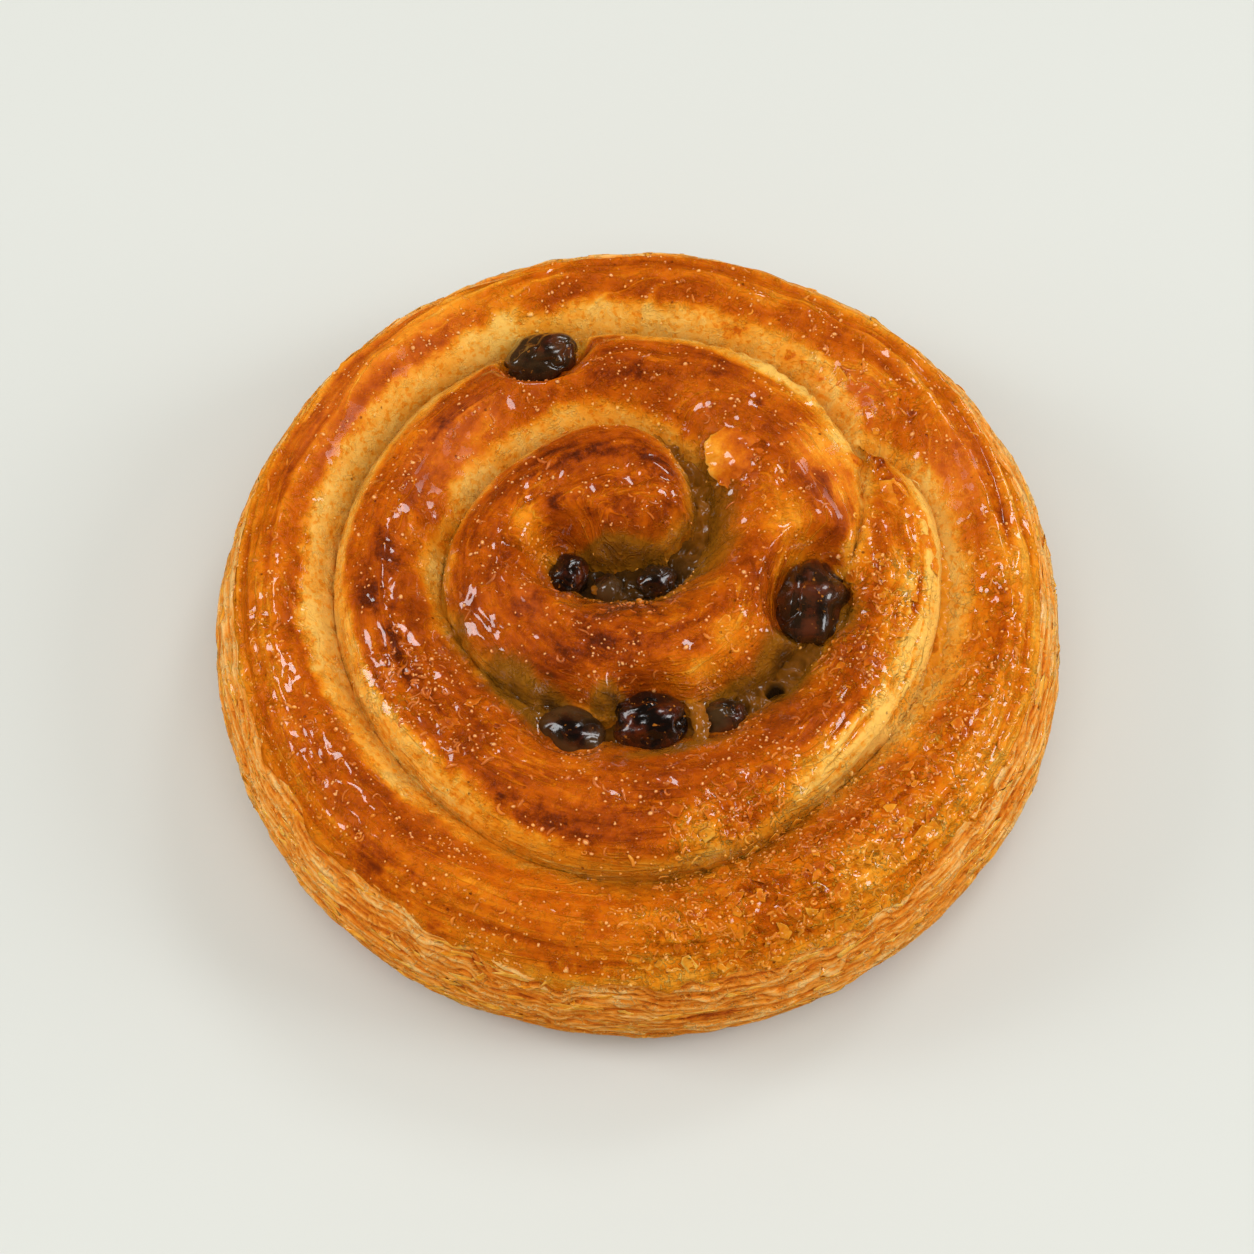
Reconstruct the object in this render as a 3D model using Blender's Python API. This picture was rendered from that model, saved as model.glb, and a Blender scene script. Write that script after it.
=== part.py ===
# A raisin swirl: a strip of laminated dough rolled round a custard filling, with raisins.
# Sizes are in millimetres and become metres where each mesh is made. +Z is up, the base stands
# on z = 0, and the origin is under the middle of the round. Angles are in degrees, turning
# anticlockwise as seen from above.

import math

import bmesh
import bpy
import numpy as np
from mathutils import Vector, geometry, noise

METRES = 0.001

# The round
ROUND_RADIUS = 50.5
HEART_HEIGHT = 26.2
RING_HEIGHT = 24.6
RING_CREST_RADIUS = 41.8
SHOULDER_RADIUS = 47.6
SHOULDER_HEIGHT = 19.8
# Lobes of the outline: waves round the rim, their size, and where each starts
OUTLINE_LOBES = ((2, 0.22, 20.0), (3, 0.16, 40.0), (7, 0.14, 200.0))
# The slow rise and fall of the baked top: pitch, height, and which slice of the noise
UNEVENNESS = ((11.0, 0.55, 3.7), (4.5, 0.25, 8.1))

# The side from the shoulder down to the base: share of the round's radius, and height
SIDE_PROFILE = ((0.943, 19.8), (0.972, 16.6), (0.991, 13.0), (1.000, 9.4),
                (0.996, 6.0), (0.976, 3.0), (0.944, 0.9), (0.910, 0.0))
# The layers that show round the side: how far apart and how deep, how far they fade in from
# the base and the shoulder, and how they wander up and down: waves round the rim, size, start
LAYER_PITCH = 4.3
LAYER_DEPTH = 0.55
LAYER_FADE = 2.5
LAYER_WANDER = ((2, 0.9, 55.0), (5, 0.7, 210.0), (11, 0.4, 90.0))

# The seam between the turns of the roll: its radius at each angle, outward from the heart
SEAM_TURNS = ((45, 10.4), (90, 21.4), (135, 22.4), (180, 23.1), (225, 20.5), (270, 18.5),
              (315, 19.6), (360, 24.2), (400, 32.0), (450, 34.7), (495, 35.9), (540, 35.9),
              (585, 35.2), (630, 36.2), (675, 34.0), (720, 36.1), (743, 35.6), (754, 32.6))
# The open eye in the heart, which the seam starts from. It takes the angles below the first.
EYE_LINE = ((-9.4, 3.0), (-3.2, 1.9), (3.2, 2.8))
# Half the width of the open seam at each angle. Past the last angle it is a shut crease.
SEAM_HALF_WIDTHS = ((0, 1.0), (8, 2.7), (25, 3.1), (38, 2.3), (48, 1.3), (70, 1.1), (105, 0.7),
                    (225, 0.7), (250, 1.6), (330, 1.9), (362, 1.1), (395, 0.7), (690, 0.7),
                    (712, 1.2), (726, 0.9), (732, 0.5))
SEAM_END = SEAM_HALF_WIDTHS[-1][0]
# How deep the seam's banks lie under the crown at each angle
SEAM_DEPTHS = ((0, 8.0), (40, 7.4), (60, 6.4), (100, 6.0), (170, 5.4), (200, 3.8), (235, 3.6),
               (262, 5.6), (330, 6.0), (362, 5.0), (385, 4.0), (400, 4.4), (430, 5.8),
               (480, 6.2), (540, 6.2), (600, 5.6), (640, 4.8), (690, 4.6), (754, 4.2))
# How far from its bank each wall reaches its crest. The wall of the turn outside the seam is a
# long gentle slope, and the wall of the turn inside it is short, steep and round.
OUTER_WALL = 7.6
INNER_WALL = 5.2
INNER_WALL_ROUNDNESS = 2.2
# The pleat along the heart's own turn: distance from the seam, width, depth and angles
PLEAT_INSET = 7.6
PLEAT_WIDTH = 1.3
PLEAT_DEPTH = 0.8
PLEAT_ANGLES = (62, 172)

# Torn flakes of crust: middle, half length and half width, heading, lift
FLAKES = (((12.4, 18.6), (3.8, 2.7), 25.0, 1.0),
          ((29.6, 13.4), (4.4, 1.8), 118.0, 0.9),
          ((30.6, -9.6), (3.2, 1.4), 75.0, 0.8),
          ((21.6, -22.4), (4.6, 1.7), 52.0, 0.8))
# Share of a flake's lift that its middle has, and how far past its edge the lift dies away
FLAKE_MIDDLE = 0.35
FLAKE_EDGE = 0.18

# The custard: the gap to the dough, its underside, the swell of its top, and how far its edge
# lies under the seam's bank at each angle
CUSTARD_GAP = 0.32
CUSTARD_FLOOR = 0.4
CUSTARD_CROWN = 0.25
CUSTARD_DROPS = ((0, 0.5), (40, 0.5), (70, 0.2), (110, 1.0), (240, 1.0), (262, 0.6), (345, 0.3),
                 (380, 1.0), (690, 1.0), (705, 0.4), (732, 0.4))

# The raisins: middle, half sizes along, across and up, heading, and how far up from its middle
# the food laps it
RAISINS = {
    "raisin_rim": ((-11.5, 31.0, 21.3), (4.8, 3.4, 3.1), 20.0, -0.3),
    "raisin_side": ((20.4, -2.2, 20.6), (5.8, 4.3, 3.7), 78.0, 0.0),
    "raisin_front": ((1.4, -17.4, 20.6), (4.5, 3.7, 3.4), 2.0, 0.0),
    "raisin_front_left": ((-7.8, -18.2, 19.4), (4.2, 3.3, 2.8), -18.0, 0.9),
    "raisin_front_right": ((9.8, -16.4, 19.3), (3.2, 2.6, 2.6), 32.0, 0.9),
    "raisin_eye_left": ((-8.3, 3.1, 18.2), (2.9, 2.4, 2.5), 60.0, 0.3),
    "raisin_eye_middle": ((-3.5, 1.5, 17.2), (2.0, 2.1, 2.1), 0.0, 0.5),
    "raisin_eye_right": ((2.2, 2.3, 17.8), (2.6, 2.2, 2.4), 20.0, 0.3),
}
RAISIN_GAP = 0.32
RAISIN_WRINKLE = 0.16
RAISIN_FOLDS = 2.2
# How steeply the food rises away from a raisin
RAISIN_BANK = 1.1

# How finely the solids are faceted: steps along the seam, rows of points beside it and the room
# each keeps, the spread over the rest of the top and the base, stations and rows of the side,
# points round a flake's edge, and the half length past which a raisin has finer faces
SEAM_SAMPLE = 0.8
SEAM_STEP = 2.45
BANK_ROWS = (0.9, 2.3, 4.3)
ROW_ROOM = 0.8
TOP_SPACING = 2.1
BASE_SPACING = 7.0
SPREAD_ROOM = 0.6
RING_STATIONS = 112
SIDE_ROWS = 13
FLAKE_EDGE_POINTS = 16
LARGE_RAISIN = 3.5
SHARP_EDGE = 40.0

# Colour, roughness and metallic value of each material
CRUST = ((0.62, 0.20, 0.035), 0.32, 0.0)
CUSTARD = ((0.52, 0.38, 0.12), 0.30, 0.0)
RAISIN = ((0.045, 0.018, 0.012), 0.28, 0.0)


def clear_scene():
    for old in list(bpy.data.objects):
        bpy.data.objects.remove(old, do_unlink=True)


def make_material(name, finish):
    colour, roughness, metallic = finish
    material = bpy.data.materials.new(name)
    material.use_nodes = True
    shader = material.node_tree.nodes["Principled BSDF"]
    shader.inputs["Base Color"].default_value = (*colour, 1.0)
    shader.inputs["Roughness"].default_value = roughness
    shader.inputs["Metallic"].default_value = metallic
    return material


def add_object(name, points, faces, material):
    """A closed object from points in millimetres, with its faces turned outwards."""
    mesh = bpy.data.meshes.new(name)
    mesh.from_pydata([tuple(float(v) * METRES for v in p) for p in points], [], faces)
    shape = bmesh.new()
    shape.from_mesh(mesh)
    bmesh.ops.recalc_face_normals(shape, faces=shape.faces)
    if shape.calc_volume(signed=True) < 0:
        bmesh.ops.reverse_faces(shape, faces=shape.faces)
    shape.to_mesh(mesh)
    shape.free()
    mesh.materials.append(material)
    mesh.shade_smooth()
    mesh.set_sharp_from_angle(angle=math.radians(SHARP_EDGE))
    made = bpy.data.objects.new(name, mesh)
    bpy.context.scene.collection.objects.link(made)
    return made


def curve_through(knots, at):
    """A smooth curve through knots of (place, value), read at each place in at."""
    x, y = np.array(knots, float).T
    slopes = np.gradient(y, x)
    at = np.clip(np.asarray(at, float), x[0], x[-1])
    i = np.clip(np.searchsorted(x, at, side="right") - 1, 0, len(x) - 2)
    span = x[i + 1] - x[i]
    t = (at - x[i]) / span
    return ((2 * t**3 - 3 * t**2 + 1) * y[i] + (t**3 - 2 * t**2 + t) * span * slopes[i]
            + (3 * t**2 - 2 * t**3) * y[i + 1] + (t**3 - t**2) * span * slopes[i + 1])


def along_knots(knots, at):
    """Straight steps between knots of (place, value)."""
    return np.interp(at, *np.array(knots, float).T)


def waves(angle, terms):
    """The sum of waves round the rim, each with its count, size and start."""
    return sum(size * np.cos(count * angle - math.radians(start)) for count, size, start in terms)


def turned(xy, middle, heading):
    """Points as seen from middle, along and across a heading."""
    turn = math.radians(heading)
    x, y = (np.asarray(xy) - np.array(middle)).T
    return x * math.cos(turn) + y * math.sin(turn), y * math.cos(turn) - x * math.sin(turn)


def evenly(points, angles, step):
    """The same line with points step apart."""
    lengths = np.concatenate([[0], np.cumsum(np.linalg.norm(np.diff(points, axis=0), axis=1))])
    at = np.linspace(0, lengths[-1], round(lengths[-1] / step) + 1)
    placed = np.stack([np.interp(at, lengths, points[:, k]) for k in (0, 1)], 1)
    return placed, np.interp(at, lengths, angles)


def seam_line():
    """Points along the seam, from the eye outward, each with its angle."""
    angles = np.arange(SEAM_TURNS[0][0], SEAM_TURNS[-1][0] + 1)
    radii = curve_through(SEAM_TURNS, angles)
    turns = np.stack([radii * np.cos(np.radians(angles)), radii * np.sin(np.radians(angles))], 1)
    corners = [*EYE_LINE, tuple(turns[0])]
    eye_angles = np.arange(SEAM_TURNS[0][0])
    places = np.linspace(0, SEAM_TURNS[0][0], len(corners))
    eye = np.stack([curve_through(list(zip(places, coordinate)), eye_angles)
                    for coordinate in zip(*corners)], 1)
    return evenly(np.vstack([eye, turns]), np.concatenate([eye_angles, angles]), SEAM_SAMPLE)


SEAM_POINTS, SEAM_ANGLES = seam_line()


def nearest_on_seam(xy):
    """Distance to the seam, the seam's angle there, and whether each point is outside it."""
    start, end = SEAM_POINTS[:-1], SEAM_POINTS[1:]
    along = end - start
    share = np.clip(((xy[:, None] - start) * along).sum(2) / (along**2).sum(1), 0, 1)
    offset = xy[:, None] - (start + share[..., None] * along)
    distance = np.linalg.norm(offset, axis=2)
    i = distance.argmin(1)
    each = np.arange(len(xy))
    angle = SEAM_ANGLES[i] + share[each, i] * (SEAM_ANGLES[i + 1] - SEAM_ANGLES[i])
    cross = along[i, 0] * offset[each, i, 1] - along[i, 1] * offset[each, i, 0]
    return distance[each, i], angle, cross < 0


def open_half_width(angle):
    """Half the seam's width, which is nothing where it is shut."""
    return along_knots(SEAM_HALF_WIDTHS, angle) * (angle <= SEAM_END)


def crown(xy):
    """The height that the top would have with no seam in it."""
    radius = np.linalg.norm(xy, axis=1)
    dome = HEART_HEIGHT - (HEART_HEIGHT - RING_HEIGHT) * (radius / RING_CREST_RADIUS) ** 2
    rim = SHOULDER_RADIUS + waves(np.arctan2(xy[:, 1], xy[:, 0]), OUTLINE_LOBES)
    out = np.clip((radius - RING_CREST_RADIUS) / (rim - RING_CREST_RADIUS), 0, 1)
    slope = RING_HEIGHT - (RING_HEIGHT - SHOULDER_HEIGHT) * out**2
    return np.where(radius < RING_CREST_RADIUS, dome, slope)


def wall_rise(clear, outside):
    """How far up its wall a point is, from 0 at the seam's bank to 1 at the crest."""
    gentle = np.sin(np.pi / 2 * np.clip(clear / OUTER_WALL, 0, 1))
    left = 1 - np.clip(clear / INNER_WALL, 0, 1)
    steep = (1 - left**INNER_WALL_ROUNDNESS) ** (1 / INNER_WALL_ROUNDNESS)
    return np.where(outside, gentle, steep)


def pleat_depth(distance, angle, outside):
    """The pleat, which follows the seam on its inner side."""
    on_heart = (angle > PLEAT_ANGLES[0]) & (angle < PLEAT_ANGLES[1]) & ~outside
    return PLEAT_DEPTH * np.exp(-((distance - PLEAT_INSET) / PLEAT_WIDTH) ** 2) * on_heart


def flake_lift(xy):
    """The height that the torn flakes add. Each one stands proud along its edge."""
    lift = np.zeros(len(xy))
    for middle, sizes, heading, height in FLAKES:
        along, across = turned(xy, middle, heading)
        reach = np.hypot(along / sizes[0], across / sizes[1])
        edge = np.clip((1 + FLAKE_EDGE - reach) / FLAKE_EDGE, 0, 1)
        lift += height * edge * (FLAKE_MIDDLE + (1 - FLAKE_MIDDLE) * np.clip(reach, 0, 1))
    return lift


def unevenness(xy):
    return np.array([sum(height * noise.noise(Vector((x / pitch, y / pitch, place)))
                         for pitch, height, place in UNEVENNESS) for x, y in xy])


def bed_height(xy):
    """The most that the food may rise beside a raisin, which it laps but doesn't cover."""
    height = np.full(len(xy), np.inf)
    for middle, sizes, heading, lap in RAISINS.values():
        along, across = turned(xy, middle[:2], heading)
        away = np.clip(np.hypot(along / sizes[0], across / sizes[1]) - 1, 0, None) * sizes[1]
        height = np.minimum(height, middle[2] + lap + RAISIN_BANK * away)
    return height


def top_height(xy):
    """The height of the dough's top."""
    distance, angle, outside = nearest_on_seam(xy)
    rise = wall_rise(distance - open_half_width(angle), outside)
    height = crown(xy) - along_knots(SEAM_DEPTHS, angle) * (1 - rise)
    height += flake_lift(xy) * rise - pleat_depth(distance, angle, outside) + unevenness(xy)
    return np.minimum(height, bed_height(xy))


def seam_stations(last_angle):
    """Even stations along the seam, their angles and the direction to the left of each."""
    keep = SEAM_ANGLES <= last_angle
    middle, angles = evenly(SEAM_POINTS[keep], SEAM_ANGLES[keep], SEAM_STEP)
    heading = np.gradient(middle, axis=0)
    heading /= np.linalg.norm(heading, axis=1)[:, None]
    return middle, angles, np.stack([-heading[:, 1], heading[:, 0]], 1)


def seam_banks(inset=0.0):
    """The two banks of the open seam, the line between them, and their angles."""
    middle, angles, left = seam_stations(SEAM_END)
    width = (open_half_width(angles) - inset)[:, None]
    return middle + left * width, middle - left * width, middle, angles


def rows_beside_seam():
    """Rows of points along both banks, and along the seam's floor where it is shut."""
    middle, angles, left = seam_stations(SEAM_TURNS[-1][0])
    shut = SEAM_END + math.degrees(ROW_ROOM / SEAM_TURNS[-1][1])
    found = [middle[angles > shut]]
    for row in BANK_ROWS:
        for side in (1, -1):
            placed = middle + side * left * (open_half_width(angles) + row)[:, None]
            distance, angle, _ = nearest_on_seam(placed)
            same_bank = distance - open_half_width(angle) > row * ROW_ROOM
            found.append(placed[same_bank])
    return np.vstack(found)


def flake_edges():
    """Points round each flake, on its edge and just past it, so that the edge stays crisp."""
    angles = np.linspace(0, 2 * math.pi, FLAKE_EDGE_POINTS, endpoint=False)
    found = []
    for middle, sizes, heading, _ in FLAKES:
        for reach in (1, 1 + FLAKE_EDGE):
            ring = np.stack([reach * sizes[0] * np.cos(angles), reach * sizes[1] * np.sin(angles)], 1)
            found.append(np.stack(turned(ring, (0, 0), -heading), 1) + np.array(middle))
    return np.vstack(found)


def even_spread(spacing):
    """Staggered rows of points over the whole round."""
    rows = np.arange(-ROUND_RADIUS, ROUND_RADIUS, spacing * math.sqrt(3) / 2)
    return np.array([(x + (k % 2) * spacing / 2, y) for k, y in enumerate(rows)
                     for x in np.arange(-ROUND_RADIUS, ROUND_RADIUS, spacing)])


def inside_loop(xy, loop):
    """Which points lie inside a closed loop."""
    a, b = loop, np.roll(loop, -1, axis=0)
    above = (a[:, 1] > xy[:, 1, None]) != (b[:, 1] > xy[:, 1, None])
    with np.errstate(divide="ignore", invalid="ignore"):
        cut = (b[:, 0] - a[:, 0]) * (xy[:, 1, None] - a[:, 1]) / (b[:, 1] - a[:, 1]) + a[:, 0]
    return (above & (xy[:, 0, None] < cut)).sum(1) % 2 == 1


def loose_points(fixed, loop, groups):
    """Points inside loop from each group of (points, room), none nearer another than its room."""
    kept = fixed
    for points, room in groups:
        points = points[inside_loop(points, loop)]
        distance, angle, _ = nearest_on_seam(points)
        on_dough = distance > open_half_width(angle) + room * ROW_ROOM
        for point in points[on_dough | (angle > SEAM_END)]:
            if np.min(np.hypot(*(kept - point).T)) > room:
                kept = np.vstack([kept, point])
    return kept[len(fixed):]


def triangles_between(outline, hole, loose):
    """Triangles that fill outline, leave hole open and use the loose points."""
    points = np.vstack([outline, hole, loose])
    n, m = len(outline), len(hole)
    edges = [(i, (i + 1) % n) for i in range(n)] + [(n + i, n + (i + 1) % m) for i in range(m)]
    made = geometry.delaunay_2d_cdt([Vector(p) for p in points], edges, [], 0, 1e-5)
    first_inputs = [sources[0] for sources in made[3]]
    faces = [tuple(first_inputs[v] for v in face) for face in made[2]]
    middles = np.array([points[list(face)].mean(0) for face in faces])
    good = inside_loop(middles, outline) & ~inside_loop(middles, hole)
    return points, [face for face, keep in zip(faces, good) if keep]


def layer_relief(angle, height):
    """The depth of the layers that show round the side."""
    place = (height + waves(angle, LAYER_WANDER)) / LAYER_PITCH
    fade = (np.clip(height / LAYER_FADE, 0, 1)
            * np.clip((SHOULDER_HEIGHT + LAYER_FADE / 2 - height) / LAYER_FADE, 0, 1))
    return LAYER_DEPTH * (np.abs(np.sin(np.pi * place)) - 2 / np.pi) * fade


def side_ring(share):
    """One ring of points round the side, at a share of the way from the shoulder down."""
    angle = np.arange(RING_STATIONS) * 2 * math.pi / RING_STATIONS
    places = range(len(SIDE_PROFILE))
    reaches, heights = zip(*SIDE_PROFILE)
    at = share * (len(SIDE_PROFILE) - 1)
    reach = float(curve_through(list(zip(places, reaches)), at))
    height = max(0.0, float(curve_through(list(zip(places, heights)), at)))
    radius = ROUND_RADIUS * reach + waves(angle, OUTLINE_LOBES) + layer_relief(angle, height)
    return np.stack([radius * np.cos(angle), radius * np.sin(angle), 0 * angle + height], 1)


def band_between(upper, lower):
    """Faces between two closed rows of points."""
    return [(upper[k - 1], lower[k - 1], lower[k], upper[k]) for k in range(len(upper))]


def make_dough(material):
    """The rolled strip as one solid: its top, its layered side, its base and the seam's banks."""
    rings = [side_ring(k / SIDE_ROWS) for k in range(SIDE_ROWS + 1)]
    left, right, _, _ = seam_banks()
    hole = np.vstack([left, right[::-1]])
    shoulder, base = rings[0][:, :2], rings[-1][:, :2]
    top_groups = ((rows_beside_seam(), ROW_ROOM), (flake_edges(), ROW_ROOM),
                  (even_spread(TOP_SPACING), SPREAD_ROOM * TOP_SPACING))
    loose = loose_points(np.vstack([shoulder, hole]), shoulder, top_groups)
    top_xy, faces = triangles_between(shoulder, hole, loose)
    base_groups = ((even_spread(BASE_SPACING), SPREAD_ROOM * BASE_SPACING),)
    loose = loose_points(np.vstack([base, hole]), base, base_groups)
    base_xy, base_faces = triangles_between(base, hole, loose)

    heights = top_height(top_xy)
    heights[:RING_STATIONS] = SHOULDER_HEIGHT + unevenness(shoulder)
    middle_rings = np.vstack(rings[1:-1])
    base_start = len(top_xy) + len(middle_rings)
    points = np.vstack([np.column_stack([top_xy, heights]), middle_rings,
                        np.column_stack([base_xy, np.zeros(len(base_xy))])])
    starts = [0, *range(len(top_xy), base_start, RING_STATIONS), base_start]
    rows = [range(start, start + RING_STATIONS) for start in starts]
    for upper, lower in zip(rows, rows[1:]):
        faces += band_between(upper, lower)
    top_hole = range(RING_STATIONS, RING_STATIONS + len(hole))
    faces += band_between(range(base_start + RING_STATIONS, base_start + RING_STATIONS + len(hole)),
                          top_hole)
    faces += [tuple(base_start + v for v in face) for face in base_faces]
    return add_object("dough_swirl", points, faces, material)


def make_custard(material):
    """The filling, which stands in the seam from just above the base to its visible top."""
    left, right, middle, angles = seam_banks(CUSTARD_GAP)
    bank_left, bank_right, _, _ = seam_banks()
    level = np.minimum(top_height(bank_left), top_height(bank_right))
    level -= along_knots(CUSTARD_DROPS, angles)
    floor = np.full(len(middle), CUSTARD_FLOOR)
    section = ((left, floor), (left, level), (middle, level + CUSTARD_CROWN), (right, level),
               (right, floor))
    points = np.stack([np.column_stack(part) for part in section], 1).reshape(-1, 3)
    count = len(section)
    rows = [range(start, start + count) for start in range(0, len(points), count)]
    faces = [tuple(rows[0]), tuple(rows[-1])]
    for row, following in zip(rows, rows[1:]):
        faces += band_between(row, following)
    return add_object("custard_filling", points, faces, material)


def raisin_mesh(name, middle, sizes, swell):
    """A wrinkled raisin about its own middle, swollen by swell all over."""
    shape = bmesh.new()
    bmesh.ops.create_icosphere(shape, subdivisions=3 if sizes[0] > LARGE_RAISIN else 2, radius=1)
    for vertex in shape.verts:
        out = vertex.co.normalized()
        reach = 1 + RAISIN_WRINKLE * noise.noise(out * RAISIN_FOLDS + Vector(middle))
        vertex.co = Vector([(size * reach + swell) * part * METRES
                            for size, part in zip(sizes, out)])
    mesh = bpy.data.meshes.new(name)
    shape.to_mesh(mesh)
    shape.free()
    mesh.shade_smooth()
    return mesh


def place_raisin(name, swell):
    middle, sizes, heading, _ = RAISINS[name]
    made = bpy.data.objects.new(name, raisin_mesh(name, middle, sizes, swell))
    made.location = Vector(middle) * METRES
    made.rotation_euler = (0.0, 0.0, math.radians(heading))
    return made


def make_raisins(material):
    """The raisins, each an object of its own."""
    for name in RAISINS:
        made = place_raisin(name, 0.0)
        made.data.materials.append(material)
        bpy.context.scene.collection.objects.link(made)


def raisin_beds():
    """Swollen copies of the raisins, which cut the beds that they lie in."""
    beds = bpy.data.collections.new("raisin_beds")
    bpy.context.scene.collection.children.link(beds)
    for name in RAISINS:
        bed = place_raisin(name, RAISIN_GAP)
        bed.name = "bed_of_" + name
        bed.hide_render = True
        bed.display_type = "WIRE"
        beds.objects.link(bed)
    return beds


def cut_beds(made, beds):
    cut = made.modifiers.new("raisin_beds", "BOOLEAN")
    cut.operation = "DIFFERENCE"
    cut.operand_type = "COLLECTION"
    cut.collection = beds
    cut.solver = "EXACT"


def main():
    clear_scene()
    dough = make_dough(make_material("glazed_crust", CRUST))
    custard = make_custard(make_material("custard", CUSTARD))
    make_raisins(make_material("raisin", RAISIN))
    beds = raisin_beds()
    cut_beds(dough, beds)
    cut_beds(custard, beds)


main()
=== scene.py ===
import math

import bmesh
import bpy
import numpy as np
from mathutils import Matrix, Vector, bvhtree, geometry, noise


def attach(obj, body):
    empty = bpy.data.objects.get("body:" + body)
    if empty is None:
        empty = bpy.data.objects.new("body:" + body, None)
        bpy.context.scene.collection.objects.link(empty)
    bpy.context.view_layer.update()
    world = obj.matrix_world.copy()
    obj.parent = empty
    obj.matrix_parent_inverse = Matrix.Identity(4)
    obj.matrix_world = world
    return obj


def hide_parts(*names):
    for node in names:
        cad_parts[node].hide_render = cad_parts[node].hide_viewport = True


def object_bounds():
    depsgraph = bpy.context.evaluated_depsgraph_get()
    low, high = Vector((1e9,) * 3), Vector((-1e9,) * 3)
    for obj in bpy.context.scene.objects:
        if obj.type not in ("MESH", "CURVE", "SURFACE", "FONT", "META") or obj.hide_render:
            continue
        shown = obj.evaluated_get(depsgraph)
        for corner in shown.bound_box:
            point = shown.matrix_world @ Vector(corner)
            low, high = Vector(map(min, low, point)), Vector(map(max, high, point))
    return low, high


# Raisin swirl danish. Sizes are in millimetres and angles in degrees, turning anticlockwise as
# seen from above; a mesh becomes metres when it is made.
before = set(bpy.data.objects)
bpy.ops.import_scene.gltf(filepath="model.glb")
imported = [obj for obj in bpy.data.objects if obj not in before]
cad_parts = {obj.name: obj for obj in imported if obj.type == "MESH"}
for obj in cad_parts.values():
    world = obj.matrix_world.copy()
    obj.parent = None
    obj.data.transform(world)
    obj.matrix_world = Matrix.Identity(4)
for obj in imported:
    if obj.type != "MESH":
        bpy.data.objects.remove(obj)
cadBox = [[float(v) for v in corner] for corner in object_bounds()]
mm = 0.001
print("frame loaded", cadBox)

view = {"height": 63, "aim": (-1.3, -0.6, 12), "away": 420, "near": 10, "sensor": 36,
        "pixelsPerMm": 8.36, "frame": 1254}

# each lamp: where it stands, width, height, watts, colour, and whether the glaze mirrors it
daylight, warm = (0.96, 0.985, 1.0), (1.0, 0.98, 0.94)
lamps = {
    "windowLeft": ((-1330, 130, 980), 420, 560, 5.4, daylight, True),
    "windowRight": ((1330, -80, 1020), 420, 520, 5.4, daylight, True),
    "windowBack": ((760, 1050, 1500), 420, 420, 4.6, daylight, True),
    "overhead": ((20, -520, 1760), 1700, 1500, 12.9, (1.0, 0.985, 0.945), False),
    "fillLeft": ((-1540, 0, 430), 900, 700, 6.8, warm, False),
    "fillRight": ((1540, 0, 430), 900, 700, 7.6, warm, False),
}
studio = {"wall": (0.97, 0.94, 0.87), "wallStrength": 0.65, "floor": (0.60, 0.62, 0.60),
          "floorRoughness": 0.6, "floorReach": 3000, "aim": (0, 0, 12)}


def placeCamera():
    lift = math.radians(view["height"])
    back = Vector((0, -math.cos(lift), math.sin(lift)))
    camera = bpy.data.objects.new("camera", bpy.data.cameras.new("camera"))
    camera.data.sensor_width = view["sensor"]
    camera.data.lens = view["pixelsPerMm"] * view["away"] / view["frame"] * view["sensor"]
    camera.data.clip_start = view["near"] * mm
    camera.location = (Vector(view["aim"]) + back * view["away"]) * mm
    camera.rotation_euler = (-back).to_track_quat("-Z", "Y").to_euler()
    bpy.context.scene.collection.objects.link(camera)
    bpy.context.scene.camera = camera


def placeLamps():
    for name, (place, width, height, power, colour, mirrored) in lamps.items():
        lamp = bpy.data.objects.new(name, bpy.data.lights.new(name, "AREA"))
        lamp.data.shape = "RECTANGLE"
        lamp.data.size = width * mm
        lamp.data.size_y = height * mm
        lamp.data.energy = power
        lamp.data.color = colour
        lamp.location = Vector(place) * mm
        aim = Vector(studio["aim"]) - Vector(place)
        lamp.rotation_euler = aim.to_track_quat("-Z", "Y").to_euler()
        lamp.visible_glossy = mirrored
        bpy.context.scene.collection.objects.link(lamp)
    world = bpy.data.worlds.new("studio")
    world.use_nodes = True
    sky = world.node_tree.nodes["Background"]
    sky.inputs["Color"].default_value = (*studio["wall"], 1)
    sky.inputs["Strength"].default_value = studio["wallStrength"]
    world.cycles_visibility.glossy = False
    bpy.context.scene.world = world
    bpy.context.scene.view_settings.view_transform = "Standard"
    print("camera and", len(lamps), "lamps")


class Wire:
    # one output of a node; sums on it become Math nodes
    def __init__(self, net, socket):
        self.net, self.socket = net, socket

    def math(self, operation, *values):
        return self.net.node("Math", {"operation": operation}, dict(enumerate(values)))

    def __add__(self, other): return self.math("ADD", self, other)
    def __radd__(self, other): return self.math("ADD", other, self)
    def __sub__(self, other): return self.math("SUBTRACT", self, other)
    def __rsub__(self, other): return self.math("SUBTRACT", other, self)
    def __mul__(self, other): return self.math("MULTIPLY", self, other)
    def __rmul__(self, other): return self.math("MULTIPLY", other, self)
    def __abs__(self): return self.math("ABSOLUTE", self)

    def sway(self, amount):
        # noise from 0 to 1, turned into a change either way
        return (self - 0.5) * amount


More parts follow.
